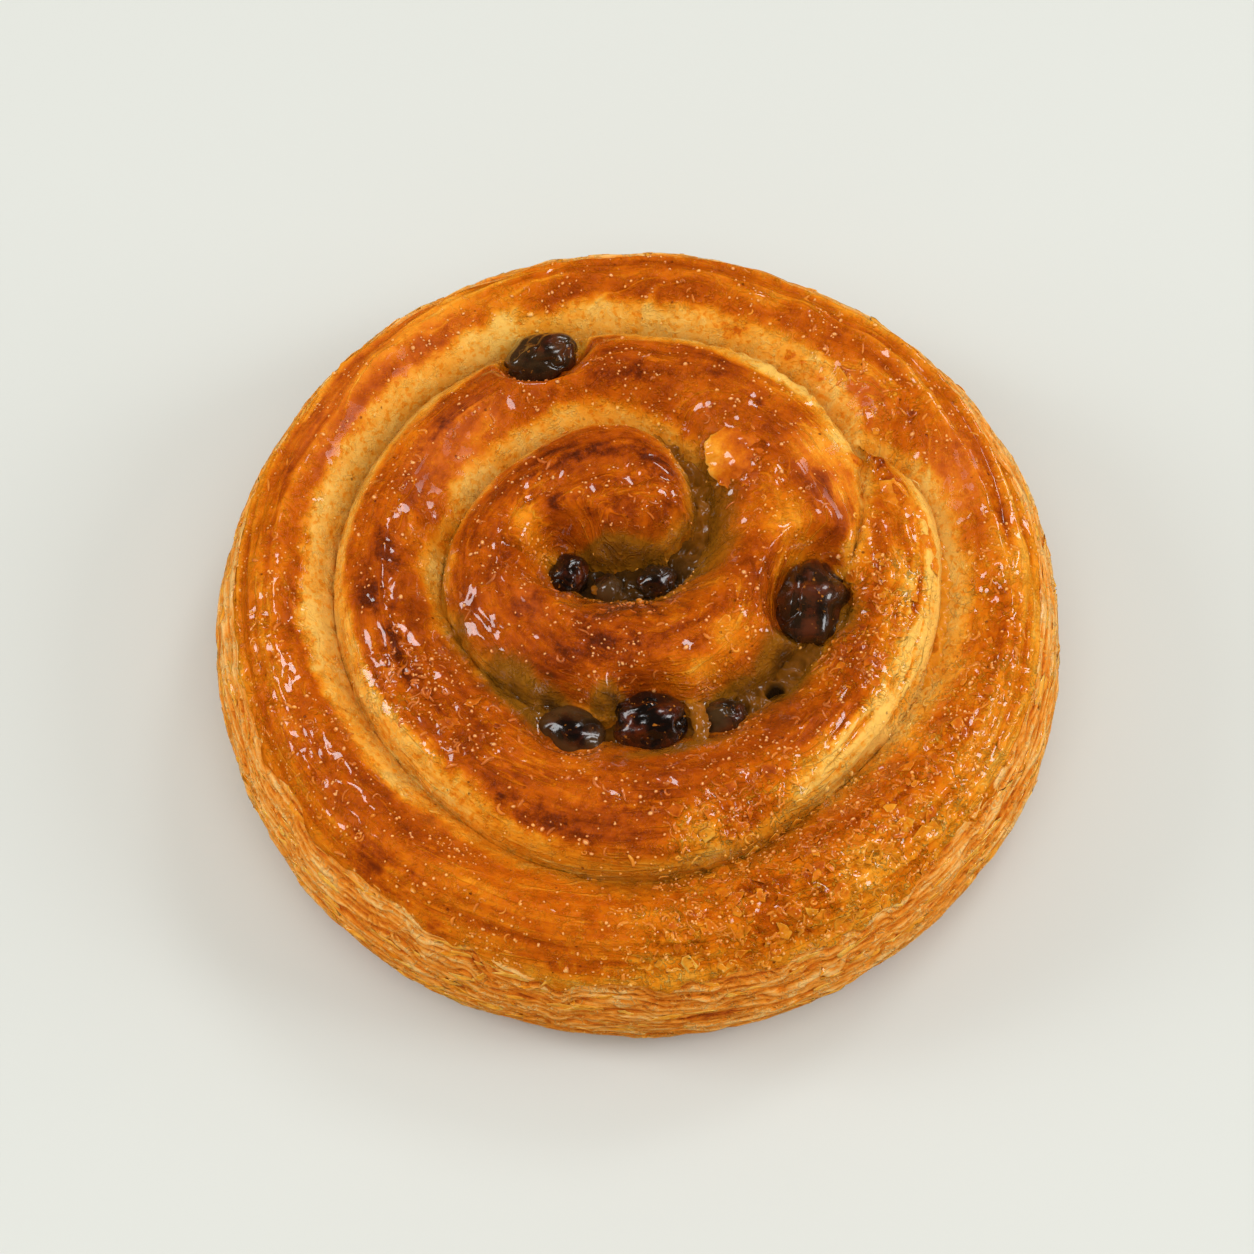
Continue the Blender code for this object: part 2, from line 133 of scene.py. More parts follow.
class Net:
    # the nodes of one material
    def __init__(self, name):
        self.material = bpy.data.materials.new(name)
        self.material.use_nodes = True
        self.tree = self.material.node_tree
        self.tree.nodes.clear()

    def node(self, kind, settings=None, values=None, out=0):
        made = self.tree.nodes.new("ShaderNode" + kind)
        for key, value in (settings or {}).items():
            if key == "stops":
                ramp = made.color_ramp.elements
                while len(ramp) < len(value):
                    ramp.new(0.5)
                for element, (place, colour) in zip(ramp, value):
                    element.position = place
                    element.color = (*colour, 1)
            else:
                setattr(made, key, value)
        for key, value in (values or {}).items():
            if isinstance(value, Wire):
                self.tree.links.new(value.socket, made.inputs[key])
            else:
                made.inputs[key].default_value = value
        return Wire(self, made.outputs[out]) if len(made.outputs) else made

    def place(self):
        return self.node("TexCoord", out="Object")

    def field(self, name, out="Fac"):
        # what the mesh carries at each point
        return self.node("Attribute", {"attribute_name": name}, out=out)

    def cloud(self, at, pitch, detail=3.0, roughness=0.55, distortion=0.0):
        # noise whose features are about pitch millimetres across
        return self.node("TexNoise", None, {"Vector": at, "Scale": 1000 / pitch, "Detail": detail,
                                            "Roughness": roughness, "Distortion": distortion})

    def cells(self, at, pitch):
        # how far each place is from the nearest of many dots
        return self.node("TexVoronoi", None, {"Vector": at, "Scale": 1000 / pitch}, out="Distance")

    def ease(self, value, low, high, start=0.0, end=1.0):
        return self.node("MapRange", {"interpolation_type": "SMOOTHSTEP"},
                         {0: value, 1: low, 2: high, 3: start, 4: end})

    def blend(self, share, first, second):
        return self.node("Mix", {"data_type": "RGBA"},
                         {0: share, 6: rgba(first), 7: rgba(second)}, out=2)

    def bump(self, height, strength=1.0, reach=1.0):
        return self.node("Bump", None, {"Strength": strength, "Distance": reach * mm,
                                        "Height": height})

    def gloss(self, soft, depth, tints, specular, coat, coatRoughness, index=1.5):
        # the light that sinks in, to a depth in millimetres, and the clear coat
        return {"Subsurface Weight": soft, "Subsurface Scale": depth * mm,
                "Subsurface Radius": tints, "Specular IOR Level": specular,
                "Coat Weight": coat, "Coat Roughness": coatRoughness, "Coat IOR": index}

    def finish(self, values):
        shader = self.node("BsdfPrincipled", None, values)
        self.node("OutputMaterial", None, {"Surface": shader})
        return self.material


def rgba(colour):
    return colour if isinstance(colour, Wire) else (*colour, 1)


def tint(red, green, blue):
    # a screen colour of 0 to 255 as a shader takes it
    return tuple((v / 255 / 12.92) if v / 255 < 0.04045 else ((v / 255 + 0.055) / 1.055) ** 2.4
                 for v in (red, green, blue))


# the form, which the dough, the custard and everything on them follow
swirl = {
    "radius": 50.5, "heartHeight": 26.2, "ringHeight": 24.6, "crestRadius": 41.8,
    "shoulderRadius": 47.6, "shoulderHeight": 19.8,
    "lobes": ((2, 0.22, 20), (3, 0.16, 40), (7, 0.14, 200)),            # waves round the rim
    "unevenness": ((0.55, 11, 3.7), (0.25, 4.5, 8.1)),                  # height, pitch, slice
    "side": ((0.943, 19.8), (0.972, 16.6), (0.991, 13), (1, 9.4), (0.996, 6), (0.976, 3),
        (0.944, 0.9), (0.91, 0)),
    "seam": ((45, 10.4), (90, 21.4), (135, 22.4), (180, 23.1), (225, 20.5), (270, 18.5),
        (315, 19.6), (360, 24.2), (400, 32), (450, 34.7), (495, 35.9), (540, 35.9), (585, 35.3),
        (630, 37.1), (675, 34.4), (720, 36.1), (743, 35.6), (754, 32.6)),
    "eye": ((-9.4, 3.0), (-3.2, 1.9), (3.2, 2.8)),
    "halfWidths": ((0, 1), (8, 2.7), (25, 3.1), (38, 2.3), (48, 1.3), (70, 1.1), (105, 0.7),
        (225, 0.7), (250, 1.6), (330, 1.9), (362, 1.1), (395, 0.7), (690, 0.7), (712, 1.2),
        (726, 0.9), (732, 0.5)),
    "depths": ((0, 8), (40, 7.4), (60, 6.4), (100, 6), (170, 5.4), (200, 3.8), (235, 3.6),
        (262, 5.6), (330, 6), (350, 4.4), (361, 1.6), (376, 1.3), (390, 3.2), (404, 4.8),
        (430, 5.8), (480, 6.2), (520, 6), (550, 5.2), (600, 5), (640, 4.6), (690, 4.6),
        (754, 4.2)),
    "outerWall": 7.6, "innerWall": 5.2, "roundness": 2.2,
    "pleat": (7.6, 1.3, 0.8, (62, 172)),                                # inset, width, depth, where
    "notch": 0.25, "notchDepth": 0.35, "deeper": 1.7, "narrow": 0.7, "step": 0.8,
}
wrapRadius = 30  # where patterns drawn out along the turns keep their size
# middle, half sizes along, across and up, heading, how far up the food laps, then folds across
# the skin, how deep they cut, how uneven the shape is and how far glaze covers it
raisins = {
    "raisin_rim": ((-11.5, 31, 21.3), (4.8, 3.4, 3.1), 20, -0.3, 1.3, 0.55, 0.12, 0.5),
    "raisin_side": ((20.4, -2.2, 20.6), (5.8, 4.3, 3.7), 78, 0, 1.0, 0.75, 0.18, 0.22),
    "raisin_front": ((1.4, -17.4, 20.6), (4.5, 3.7, 3.4), 2, 0, 1.0, 0.45, 0.14, 0),
    "raisin_front_left": ((-7.8, -18.2, 19.4), (4.2, 3.3, 2.8), -18, 0.9, 0.9, 0.14, 0.10, 1),
    "raisin_front_right": ((9.8, -16.4, 19.3), (3.2, 2.6, 2.6), 32, 0.9, 1.3, 0.35, 0.14, 0.8),
    "raisin_eye_left": ((-8.3, 3.1, 18.2), (2.9, 2.4, 2.5), 60, 0.3, 1.0, 0.28, 0.12, 0.1),
    "raisin_eye_middle": ((-3.5, 1.5, 17.2), (2.0, 2.1, 2.1), 0, 0.5, 1.0, 0.22, 0.12, 1),
    "raisin_eye_right": ((2.2, 2.3, 17.8), (2.6, 2.2, 2.4), 20, 0.3, 1.1, 0.28, 0.12, 0.3),
}
bed = {"bank": 2.4, "soft": 0.45, "lap": 0.5}  # how the food rises away from a raisin


def curveThrough(knots, at):
    # a smooth curve through knots of (place, value)
    x, y = np.array(knots, float).T
    slopes = np.gradient(y, x)
    at = np.clip(np.asarray(at, float), x[0], x[-1])
    i = np.clip(np.searchsorted(x, at, side="right") - 1, 0, len(x) - 2)
    span = x[i + 1] - x[i]
    t = (at - x[i]) / span
    return ((2 * t**3 - 3 * t**2 + 1) * y[i] + (t**3 - 2 * t**2 + t) * span * slopes[i]
            + (3 * t**2 - 2 * t**3) * y[i + 1] + (t**3 - t**2) * span * slopes[i + 1])


def alongKnots(knots, at):
    return np.interp(at, *np.array(knots, float).T)


def roundKnots(knots, bearing):
    # values at bearings all the way round, from knots that repeat after 360
    places, values = zip(*knots)
    return np.interp(np.asarray(bearing) % 360, places, values, period=360)


def waves(angle, terms):
    return sum(size * np.cos(count * angle - math.radians(start)) for count, size, start in terms)


def turned(xy, middle, heading):
    turn = math.radians(heading)
    x, y = (np.asarray(xy) - np.array(middle)).T
    return x * math.cos(turn) + y * math.sin(turn), y * math.cos(turn) - x * math.sin(turn)


def ease(value, low, high):
    t = np.clip((value - low) / (high - low), 0, 1)
    return t * t * (3 - 2 * t)


def ring(radius, angle, *height):
    return np.stack([radius * np.cos(angle), radius * np.sin(angle), *height], 1)


def leftOf(line):
    # the way to the left at each point of a line
    heading = np.gradient(line, axis=0)
    heading /= np.linalg.norm(heading, axis=1)[:, None]
    return np.stack([-heading[:, 1], heading[:, 0]], 1)


def evenly(points, angles, step):
    lengths = np.concatenate([[0], np.cumsum(np.linalg.norm(np.diff(points, axis=0), axis=1))])
    at = np.linspace(0, lengths[-1], round(lengths[-1] / step) + 1)
    placed = np.stack([np.interp(at, lengths, points[:, k]) for k in (0, 1)], 1)
    return placed, np.interp(at, lengths, angles)


def seamLine():
    knots = swirl["seam"]
    angles = np.arange(knots[0][0], knots[-1][0] + 1)
    radii = curveThrough(knots, angles)
    turns = ring(radii, np.radians(angles))
    corners = [*swirl["eye"], tuple(turns[0])]
    eyeAngles = np.arange(knots[0][0])
    places = np.linspace(0, knots[0][0], len(corners))
    eye = np.stack([curveThrough(list(zip(places, coordinate)), eyeAngles)
                    for coordinate in zip(*corners)], 1)
    return evenly(np.vstack([eye, turns]), np.concatenate([eyeAngles, angles]), swirl["step"])


seamPoints, seamAngles = seamLine()
seamEnd = swirl["halfWidths"][-1][0]


def nearestOnSeam(xy):
    # distance to the seam, the seam's angle there, and whether each point is outside it
    start, along = seamPoints[:-1], np.diff(seamPoints, axis=0)
    square = (along**2).sum(1)
    found, batch = [], 3000
    for first in range(0, len(xy), batch):
        some = xy[first:first + batch]
        share = np.clip(((some[:, None] - start) * along).sum(2) / square, 0, 1)
        offset = some[:, None] - (start + share[..., None] * along)
        distance = (offset**2).sum(2)
        i = distance.argmin(1)
        each = np.arange(len(some))
        angle = seamAngles[i] + share[each, i] * (seamAngles[i + 1] - seamAngles[i])
        cross = along[i, 0] * offset[each, i, 1] - along[i, 1] * offset[each, i, 0]
        found.append((np.sqrt(distance[each, i]), angle, cross < 0))
    return [np.concatenate(parts) for parts in zip(*found)]


def halfWidth(angle):
    return alongKnots(swirl["halfWidths"], angle) * (angle <= seamEnd)


def crown(xy):
    radius = np.linalg.norm(xy, axis=1)
    crest, ring = swirl["crestRadius"], swirl["ringHeight"]
    dome = swirl["heartHeight"] - (swirl["heartHeight"] - ring) * (radius / crest) ** 2
    rim = swirl["shoulderRadius"] + waves(np.arctan2(xy[:, 1], xy[:, 0]), swirl["lobes"])
    out = np.clip((radius - crest) / (rim - crest), 0, 1)
    return np.where(radius < crest, dome, ring - (ring - swirl["shoulderHeight"]) * out**2)


def cloud(points, pitch, place=0.0):
    # smooth noise from about -1 to 1 whose features are about pitch millimetres across
    pitch = np.broadcast_to(np.array(pitch, float), (3,))
    return np.array([noise.noise((x, y, z)) for x, y, z in points / pitch + (0, 0, place)])


def clouds(points, terms, start=0):
    # a sum of noise, each with its height, pitch and slice
    return sum((size * cloud(points, pitch, place) for size, pitch, place in terms), start)


def flat(xy):
    return np.column_stack([xy, np.zeros(len(xy))])


def polar(points):
    return np.hypot(points[:, 0], points[:, 1]), np.arctan2(points[:, 1], points[:, 0])


def swept(points, along, across, place=0.0):
    # noise drawn out along the turns of the roll
    radius = np.maximum(polar(points)[0], 1e-6)
    around = points[:, :2] / radius[:, None] * wrapRadius / along
    return cloud(np.column_stack([around, (radius - points[:, 2]) / across]), 1.0, place)


def course(points, stretch=9.0):
    # the place of each point in a pattern drawn out along the turns, in metres for a shader
    radius, bearing = polar(points)
    return mm * ring(wrapRadius / stretch, bearing, radius - points[:, 2])


def bedHeight(xy):
    height = np.full(len(xy), np.inf)
    for middle, sizes, heading, lap, *_ in raisins.values():
        along, across = turned(xy, middle[:2], heading)
        away = np.clip(np.hypot(along / sizes[0], across / sizes[1]) - 1, 0, None) * sizes[1]
        height = np.minimum(height, middle[2] + lap + bed["lap"] + bed["bank"] * away)
    return height


def topFields(xy):
    # where each point of the top lies in the roll
    distance, angle, outside = nearestOnSeam(xy)
    half = halfWidth(angle)
    notch = np.maximum(half - swirl["narrow"] + swirl["notch"], swirl["notch"])
    wall = np.where(outside, swirl["outerWall"], swirl["innerWall"])
    clear = (distance - notch) * wall / (wall + half - notch)
    gentle = np.sin(np.pi / 2 * np.clip(clear / swirl["outerWall"], 0, 1))
    left = 1 - np.clip(clear / swirl["innerWall"], 0, 1)
    steep = (1 - left**swirl["roundness"]) ** (1 / swirl["roundness"])
    return {"distance": distance, "angle": angle, "outside": outside, "clear": clear,
            "notch": notch, "rise": np.where(outside, gentle, steep)}


def topHeight(xy):
    found = topFields(xy)
    distance, angle, outside = found["distance"], found["angle"], found["outside"]
    height = crown(xy) - alongKnots(swirl["depths"], angle) * (1 - found["rise"])
    inset, width, depth, (first, last) = swirl["pleat"]
    onHeart = (angle > first) & (angle < last) & ~outside
    height -= depth * np.exp(-((distance - inset) / width) ** 2) * onHeart
    depth = swirl["notchDepth"] + swirl["deeper"] * (found["notch"] - swirl["notch"])
    height -= depth * np.clip(1 - distance / found["notch"], 0, 1) ** 0.8
    height += clouds(flat(xy), swirl["unevenness"])
    over = (height - bedHeight(xy)) / bed["soft"]
    return height - bed["soft"] * np.log1p(np.exp(np.clip(over, -30, 30)))


def insideBox(points):
    # eases the outermost points back inside the box of the CAD model
    margin, soft = (0.05, 0.05, 0), 0.5
    low, high = (np.array(corner) / mm for corner in cadBox)
    middle, reach = (low + high) / 2, (high - low) / 2 - margin
    away = np.asarray(points) - middle
    over = np.clip(np.abs(away) - reach + soft, 0, None) * (1, 1, 0)
    return middle + np.sign(away) * (np.abs(away) - over + soft * (1 - np.exp(-over / soft)))


def makePiece(name, points, faces, material, fields):
    # a closed object that rides on the body, from points in millimetres
    mesh = bpy.data.meshes.new(name)
    mesh.from_pydata((insideBox(points) * mm).tolist(), [], faces)
    shape = bmesh.new()
    shape.from_mesh(mesh)
    bmesh.ops.recalc_face_normals(shape, faces=shape.faces)
    if shape.calc_volume(signed=True) < 0:
        bmesh.ops.reverse_faces(shape, faces=shape.faces)
    shape.to_mesh(mesh)
    shape.free()
    for key, values in fields.items():
        values = np.asarray(values, np.float32)
        kind, slot = ("FLOAT", "value") if values.ndim == 1 else ("FLOAT_VECTOR", "vector")
        mesh.attributes.new(key, kind, "POINT").data.foreach_set(slot, values.ravel())
    mesh.materials.append(material)
    mesh.shade_smooth()
    made = bpy.data.objects.new(name, mesh)
    bpy.context.scene.collection.objects.link(made)
    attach(made, "root")
    return made


def normalsOf(points, faces):
    mesh = bpy.data.meshes.new("draft")
    mesh.from_pydata(np.asarray(points).tolist(), [], faces)
    found = np.zeros(len(points) * 3)
    mesh.vertices.foreach_get("normal", found)
    bpy.data.meshes.remove(mesh)
    return found.reshape(-1, 3)


def bands(starts, count):
    # faces between closed rows of points that start at each of starts
    faces = []
    for upper, lower in zip(starts, starts[1:]):
        for k in range(count):
            after = (k + 1) % count
            faces.append((upper + k, lower + k, lower + after, upper + after))
    return faces


def fan(start, count, middle):
    # faces between a closed row of points and the point in its middle
    return [(start + k, middle, start + (k + 1) % count) for k in range(count)]


def filled(outline, loose):
    # triangles inside a closed outline, through loose points
    edges = [(i, (i + 1) % len(outline)) for i in range(len(outline))]
    points = [Vector(p) for p in np.vstack([outline, loose])]
    return geometry.delaunay_2d_cdt(points, edges, [], 1, 1e-5)


def ball(subdivisions):
    shape = bmesh.new()
    bmesh.ops.create_icosphere(shape, subdivisions=subdivisions, radius=1)
    points = np.array([v.co[:] for v in shape.verts])
    faces = [tuple(v.index for v in face.verts) for face in shape.faces]
    shape.free()
    return points, faces


# the top of the dough
top = {
    "stations": 880, "spread": 0.385, "seamStep": 0.40,
    "seamRows": (0.10, 0.28, 0.5, 0.76, 1.05, 1.38, 1.74),
    "flankRows": 28, "lipRows": 4, "lip": 1.1, "lipIn": 0.6, "lipDown": 0.55,
    "lidHeight": 14.4, "lidShare": 0.985,
    "flank": (40.5, 43.5), "rim": (44.5, 49.5), "highest": 25.9, "highestSoft": 0.7,
    "raggedEdge": ((0.10, 9, 1), (0.05, 3, 2)),
    # where the glazed skin ends: bearing, and how far down (crest 0, shoulder 1, base 2)
    "skinEdge": ((0, 0.92), (30, 0.7), (60, 0.48), (90, 0.4), (120, 0.52), (145, 0.76), (166, 0.9),
        (180, 0.96), (200, 0.98), (215, 1), (240, 1.08), (270, 1.15), (300, 1.1), (322, 1.04),
        (335, 1), (350, 0.95)),
    # how high the long ridges of the flank stand
    "terraces": ((0, 0.75), (40, 0.9), (75, 0.55), (100, 0.45), (125, 0.8), (155, 0.8), (180, 0.4),
        (205, 0.15), (260, 0.1), (300, 0.3), (330, 0.6)),
    # width of the pale band beside the seam, on the turns outside and inside it, by its angle
    "paleOutside": ((0, 0.3), (45, 0.8), (75, 1.4), (100, 2.2), (140, 2.4), (165, 2), (190, 1.4),
        (215, 0.6), (240, 0.1), (300, 0.1), (340, 0.5), (380, 1), (398, 2.2), (412, 3.6),
        (450, 3.3), (500, 3.5), (545, 3.2), (572, 2.7), (600, 2.2), (620, 0.6), (655, 0.4),
        (680, 1.2), (700, 2), (754, 2)),
    "paleInside": ((0, 0.4), (60, 1.1), (172, 1), (200, 0.4), (380, 0.4), (400, 1.8), (430, 2.2),
        (450, 1.9), (480, 1.6), (560, 1.2), (580, 2.2), (610, 2), (630, 0.8), (655, 1.6),
        (690, 3.4), (715, 2), (754, 1)),
    # how little the pale band is baked, at each angle of the seam
    "paleDone": ((0, 0.5), (60, 0.36), (90, 0.2), (170, 0.22), (210, 0.35), (240, 0.6),
        (370, 0.42), (405, 0.16), (450, 0.1), (560, 0.08), (595, 0.2), (615, 0.52), (655, 0.6),
        (690, 0.3), (754, 0.28)),
    "paleInsideDone": ((0, 0.36), (390, 0.3), (420, 0.16), (480, 0.12), (590, 0.16), (615, 0.42),
        (650, 0.46), (690, 0.22), (754, 0.3)),
    # how olive the bottom of the seam is: partly custard-wet dough, partly painted shade in the
    # crease
    "creases": ((0, 1), (50, 0.8), (80, 0.5), (180, 0.5), (230, 1), (340, 1), (365, 0.4),
        (400, 0.3), (440, 0.9), (510, 0.8), (545, 0.1), (600, 0.2), (630, 0.9), (660, 0.8),
        (690, 0.2), (754, 0.3)),
    # how far the crest of the ring is baked, by bearing
    "ringDone": ((0, 0.64), (60, 0.66), (92, 0.74), (120, 0.68), (175, 0.72), (210, 0.71),
        (240, 0.66), (270, 0.63), (315, 0.65)),
    # a raised ragged lip beside the seam, on the inner turn: inset, width, height, angles
    "tornLip": (1.6, 0.55, 0.8, (384, 442)),
    # places where thin layers part into pale strands
    "strands": ((31.8, -6.5, 3, 12, -6, 1.2), (25, -20.5, 2.6, 8, -50, 1.2),
        (33.4, 6, 2, 6, 10, 0.8), (-4, -47.8, 20, 1.8, 0, 0.5), (33.6, -33.6, 14, 1.8, 48, 0.5),
        (-48, -10, 1.6, 17, 8, 0.7), (-33, -38, 14, 1.6, -50, 0.6),
        (45.6, -12, 1.4, 14, -14, 0.5)),
    # red-brown bakes, and every list of spots: middle, half length and width, heading, strength
    "bakes": ((-29.5, 3.3, 3.4, 1.7, 100, 1), (-31.2, -3, 3, 1.5, 95, 0.8),
        (-28, -9.5, 3.2, 1.8, 110, 0.75), (-26.4, -13.5, 2.2, 1.5, 120, 0.7),
        (-23, -7, 3.4, 1, 95, 0.7), (-19.4, -11, 3.6, 1.4, 100, 0.75),
        (-11, -31.5, 4, 1.9, -20, 0.95), (-7.2, -33.5, 2.8, 1.3, -10, 0.8),
        (-14.8, -28.6, 2.4, 1.5, -40, 0.6), (-4.8, 8.5, 3.2, 1, 15, 0.6),
        (-9.5, 9.4, 2.2, 1.2, 20, 0.8), (-13.6, 9.8, 2.4, 1.4, 45, 0.6),
        (-9.2, 14.2, 4, 1.4, 30, 0.8), (-3.4, 16.2, 3.6, 1.3, 0, 0.85),
        (2.2, 14.2, 3.2, 1.4, -35, 0.8), (15.6, -43, 4, 2.2, 15, 0.8),
        (14.8, -38.9, 4.6, 2.2, 10, 0.85), (20.5, -40.5, 3, 1.8, 30, 0.7),
        (-30, -35.6, 4.4, 2.2, -45, 0.8), (-26.2, -38.2, 3, 1.6, -40, 0.7),
        (-22.7, -43, 1.8, 1.5, -30, 0.7), (12, 34.9, 2.8, 1, -20, 0.8),
        (18.8, 31, 1.7, 1, -40, 0.9), (21.6, 28.4, 1.4, 0.9, -45, 0.7), (26, 15.6, 1.2, 1, 0, 2.4),
        (28.6, 15.4, 1.2, 0.9, -20, 2.2), (29.6, -28, 4, 1.6, 42, 0.55),
        (33.6, -26.4, 2.4, 1.4, 50, 0.5), (-10.5, -19.6, 3, 0.8, -30, 0.6),
        (7, -7.2, 4, 1.6, 35, 0.45), (13.4, 8.4, 1, 2.6, -20, 0.3), (-2, 12.2, 2.8, 0.8, 15, 0.7),
        (0, 27, 9, 1.3, 0, 0.6), (-2, -9.6, 7, 1.6, 0, 0.5), (13.6, 23.4, 4.6, 1, -38, 0.5),
        (-24.5, 17.5, 4, 1, 55, 0.45), (-13.8, -6.6, 3, 2, 110, 0.35), (-2, -5.6, 7, 0.9, 0, 0.5),
        (29, -3, 1.2, 3.4, 0, 0.5), (24.6, -16.4, 2, 1, 50, 0.7), (38, -20, 6, 2, 64, 0.5),
        (42.6, -6, 8, 1.4, 82, 0.5), (43, 8, 7, 1.2, 100, 0.5), (-42.6, -8, 8, 1.6, 98, 0.5),
        (-38.6, -22, 5, 2, 120, 0.5), (4, -44, 8, 1.6, 5, 0.25), (-1, -29.2, 6, 1.6, 5, 0.55)),
    # how far the rim turns paler, by bearing, and lighter places: mostly a paler bake, but over the
    # heart's lower right and round the rosette partly a painted sheen
    "paleRim": ((0, 0.5), (60, 0.7), (120, 0.7), (160, 1), (200, 0.9), (235, 0.8), (270, 0.7),
        (305, 0.7), (335, 0.5)),
    "palesAndPaintedSheen": ((30.3, -3.7, 4, 8, 0, 0.75), (16.9, 6, 3.2, 5, 10, 1.2), (19, 24, 5, 2, -45, 0.6),
        (-28.4, 18.4, 6, 1.8, 55, 0.4), (0.6, 9.4, 2.2, 3.6, 20, 0.45),
        # these two spots over the heart's lower right are partly a painted sheen
        (10.6, -8.4, 3.4, 2.2, 40, 1.2), (7.6, -12.4, 3.8, 1.6, 15, 1.1),
        (-12.6, 5.8, 2, 3.6, 30, 1.1), (33.9, 6, 3, 8, 0, 1.1), (21, -25, 7, 2.6, 42, 0.8),
        # the last spot here, at the rosette, is partly a painted sheen
        (-40.5, -12, 2.6, 9, 10, 0.3), (9, -34.5, 6, 2.4, 10, 0.5), (7.4, -33.2, 3.2, 2.6, 0, 1),
        (-4.6, 23.6, 7, 1.5, 8, 0.2), (22.2, 16, 4.4, 2.8, -65, 1.4),
        (24.4, 11.4, 2.4, 3.4, 10, 1.1), (25.2, -36.6, 3.6, 2.6, 45, 0.8),
        (-5.7, 8.6, 2.4, 1.4, 0, 0.4)),
    # where the glaze lies thin
    "thinGlaze": ((-31.5, 27, 17, 6.5, 50, 1), (-22, 17, 9, 4.5, 50, 1), (37, 13, 8, 4.5, 75, 0.9),
        (23, 13, 8, 4, -66, 1), (25.5, 25, 7, 4, -45, 0.8), (-12.6, -4, 3, 5, 20, 0.6)),
    # olive, custard-soaked dough
    "smears": ((9, 11.5, 8.5, 3.1, 95, 1), (8.8, 4.6, 4.2, 3.2, 55, 1),
        (-3, 4.9, 6.4, 1.1, 0, 1.2), (17, -10, 4.6, 3, 60, 1.3),
        (-13.6, -14.6, 5.4, 2.6, -48, 1.15), (-9.6, -15.8, 3.6, 1.6, -30, 1.45),
        (-3.2, -15.6, 2.4, 1.6, 0, 1.3), (4, -21.6, 8, 1.2, 12, 0.9),
        (11.4, -14.6, 5.6, 2, 25, 1.1), (-20.5, -7, 4, 1.2, 100, 0.6),
        (24.4, -4.4, 2.2, 3.4, 0, 0.8)),
    # skin that puckers in rings round a small dot: middle, rings, height, width
    "rosette": ((7.6, -33), (0, 1.15, 2.1, 3), 0.42, 0.34),
    # blisters, with their height in place of a strength
    "blisters": ((26, 15.6, 1, 0.8, 0, 0.9), (28.6, 15.4, 0.9, 0.8, 0, 0.7),
        (29.3, 13.6, 0.8, 0.7, 0, 0.5), (-3.8, -15.1, 1.6, 1.2, 0, 1), (-31, 12, 0.7, 0.6, 0, 0.4),
        (12.6, -8.6, 1.4, 0.9, 40, 0.4), (-16.4, -23.8, 0.8, 0.8, 0, 0.4)),
    # wrinkled, flaking skin: middle, reach, strength
    "wrinkled": ((20, -37, 9, 0.9), (32, -27, 8, 0.9), (40, -13, 8, 0.6), (42, 0, 7, 0.3),
        (7, -42, 8, 0.5), (-39, -19, 6.5, 0.25), (-35, -27, 6, 0.2), (-27, -14, 4.5, 0.9),
        (-21, -22, 5, 0.5), (29, -2, 6, 0.8), (26, -12, 6, 0.8), (7, -31, 5, 0.8),
        (15, -28, 6, 0.6), (12, 14, 5, 0.6), (11, -8, 5, 0.5), (30, 22, 4.5, 0.6),
        (24, 28, 3, 0.5), (-16, -17, 4, 0.5), (-42, -5, 6, 0.3), (0, -48, 7, 0.4),
        (14, -47, 7, 0.5), (28, -40, 7, 0.5), (-20, -45, 6, 0.3), (-48, -12, 5, 0.6),
        (-26, 12, 4, 0.3), (2, 9, 4, 0.4)),
}


bearings = np.arange(top["stations"]) * 2 * math.pi / top["stations"]  # of the points of a ring


def sideRing(share):
    # the ring of points round the side, share of the way from the shoulder to the base
    reaches, heights = zip(*swirl["side"])
    at, places = share * (len(reaches) - 1), range(len(reaches))
    reach, height = (curveThrough(list(zip(places, values)), at) for values in (reaches, heights))
    radius = swirl["radius"] * reach + waves(bearings, swirl["lobes"])
    return ring(radius, bearings, np.maximum(0, height))


def flankRing(share):
    # down the outside of the ring: 0 at its crest, 1 at the shoulder, 2 at the base
    over = np.clip(share, 0, 1)
    rim = swirl["shoulderRadius"] + waves(bearings, swirl["lobes"])
    xy = ring(swirl["crestRadius"] + (rim - swirl["crestRadius"]) * over, bearings)
    lower = sideRing(np.clip(share - 1, 0, 1))
    fade = np.clip(1 - (share - 1) * 3, 0, 1)
    lower[:, 2] += fade * clouds(flat(ring(rim, bearings)), swirl["unevenness"])
    return np.where((share <= 1)[:, None], np.column_stack([xy, topHeight(xy)]), lower)


def skinEdge():
    # how far down the flank the glazed skin ends, all round
    ragged = clouds(flat(ring(50, bearings)), top["raggedEdge"])
    return roundKnots(top["skinEdge"], np.degrees(bearings)) * (1 + ragged)


def topLayout():
    # points over the top: even ones, and rows beside the seam that keep its walls crisp
    crest, gap, slack = swirl["crestRadius"], 0.2, 0.05
    middle = evenly(seamPoints, seamAngles, top["seamStep"])[0]
    left = leftOf(middle)
    notch = topFields(middle)["notch"]
    found = [middle]
    for row in (-0.5, 0.0, *top["seamRows"]):
        for way in (1, -1):
            inset = notch * (1 + min(row, 0)) + max(row, 0)
            placed = middle + way * left * inset[:, None]
            distance = nearestOnSeam(placed)[0]
            found.append(placed[distance > inset - slack])
    rows = np.vstack(found)
    step = top["spread"]
    heights = np.arange(-crest, crest, step * math.sqrt(3) / 2)
    even = np.array([(x + (k % 2) * step / 2, y) for k, y in enumerate(heights)
                     for x in np.arange(-crest, crest, step)])
    found = topFields(even)
    even = even[found["distance"] > found["notch"] + top["seamRows"][-1] + gap]
    loose = np.vstack([rows, even])
    return loose[np.hypot(*loose.T) < crest - gap]


def lump(points, spots):
    # the strongest of soft round or long spots
    total = np.zeros(len(points))
    for x, y, length, width, heading, strength in spots:
        along, across = turned(points[:, :2], (x, y), heading)
        reach = (along / length) ** 2 + (across / width) ** 2
        total = np.maximum(total, strength * np.exp(-reach))
    return total


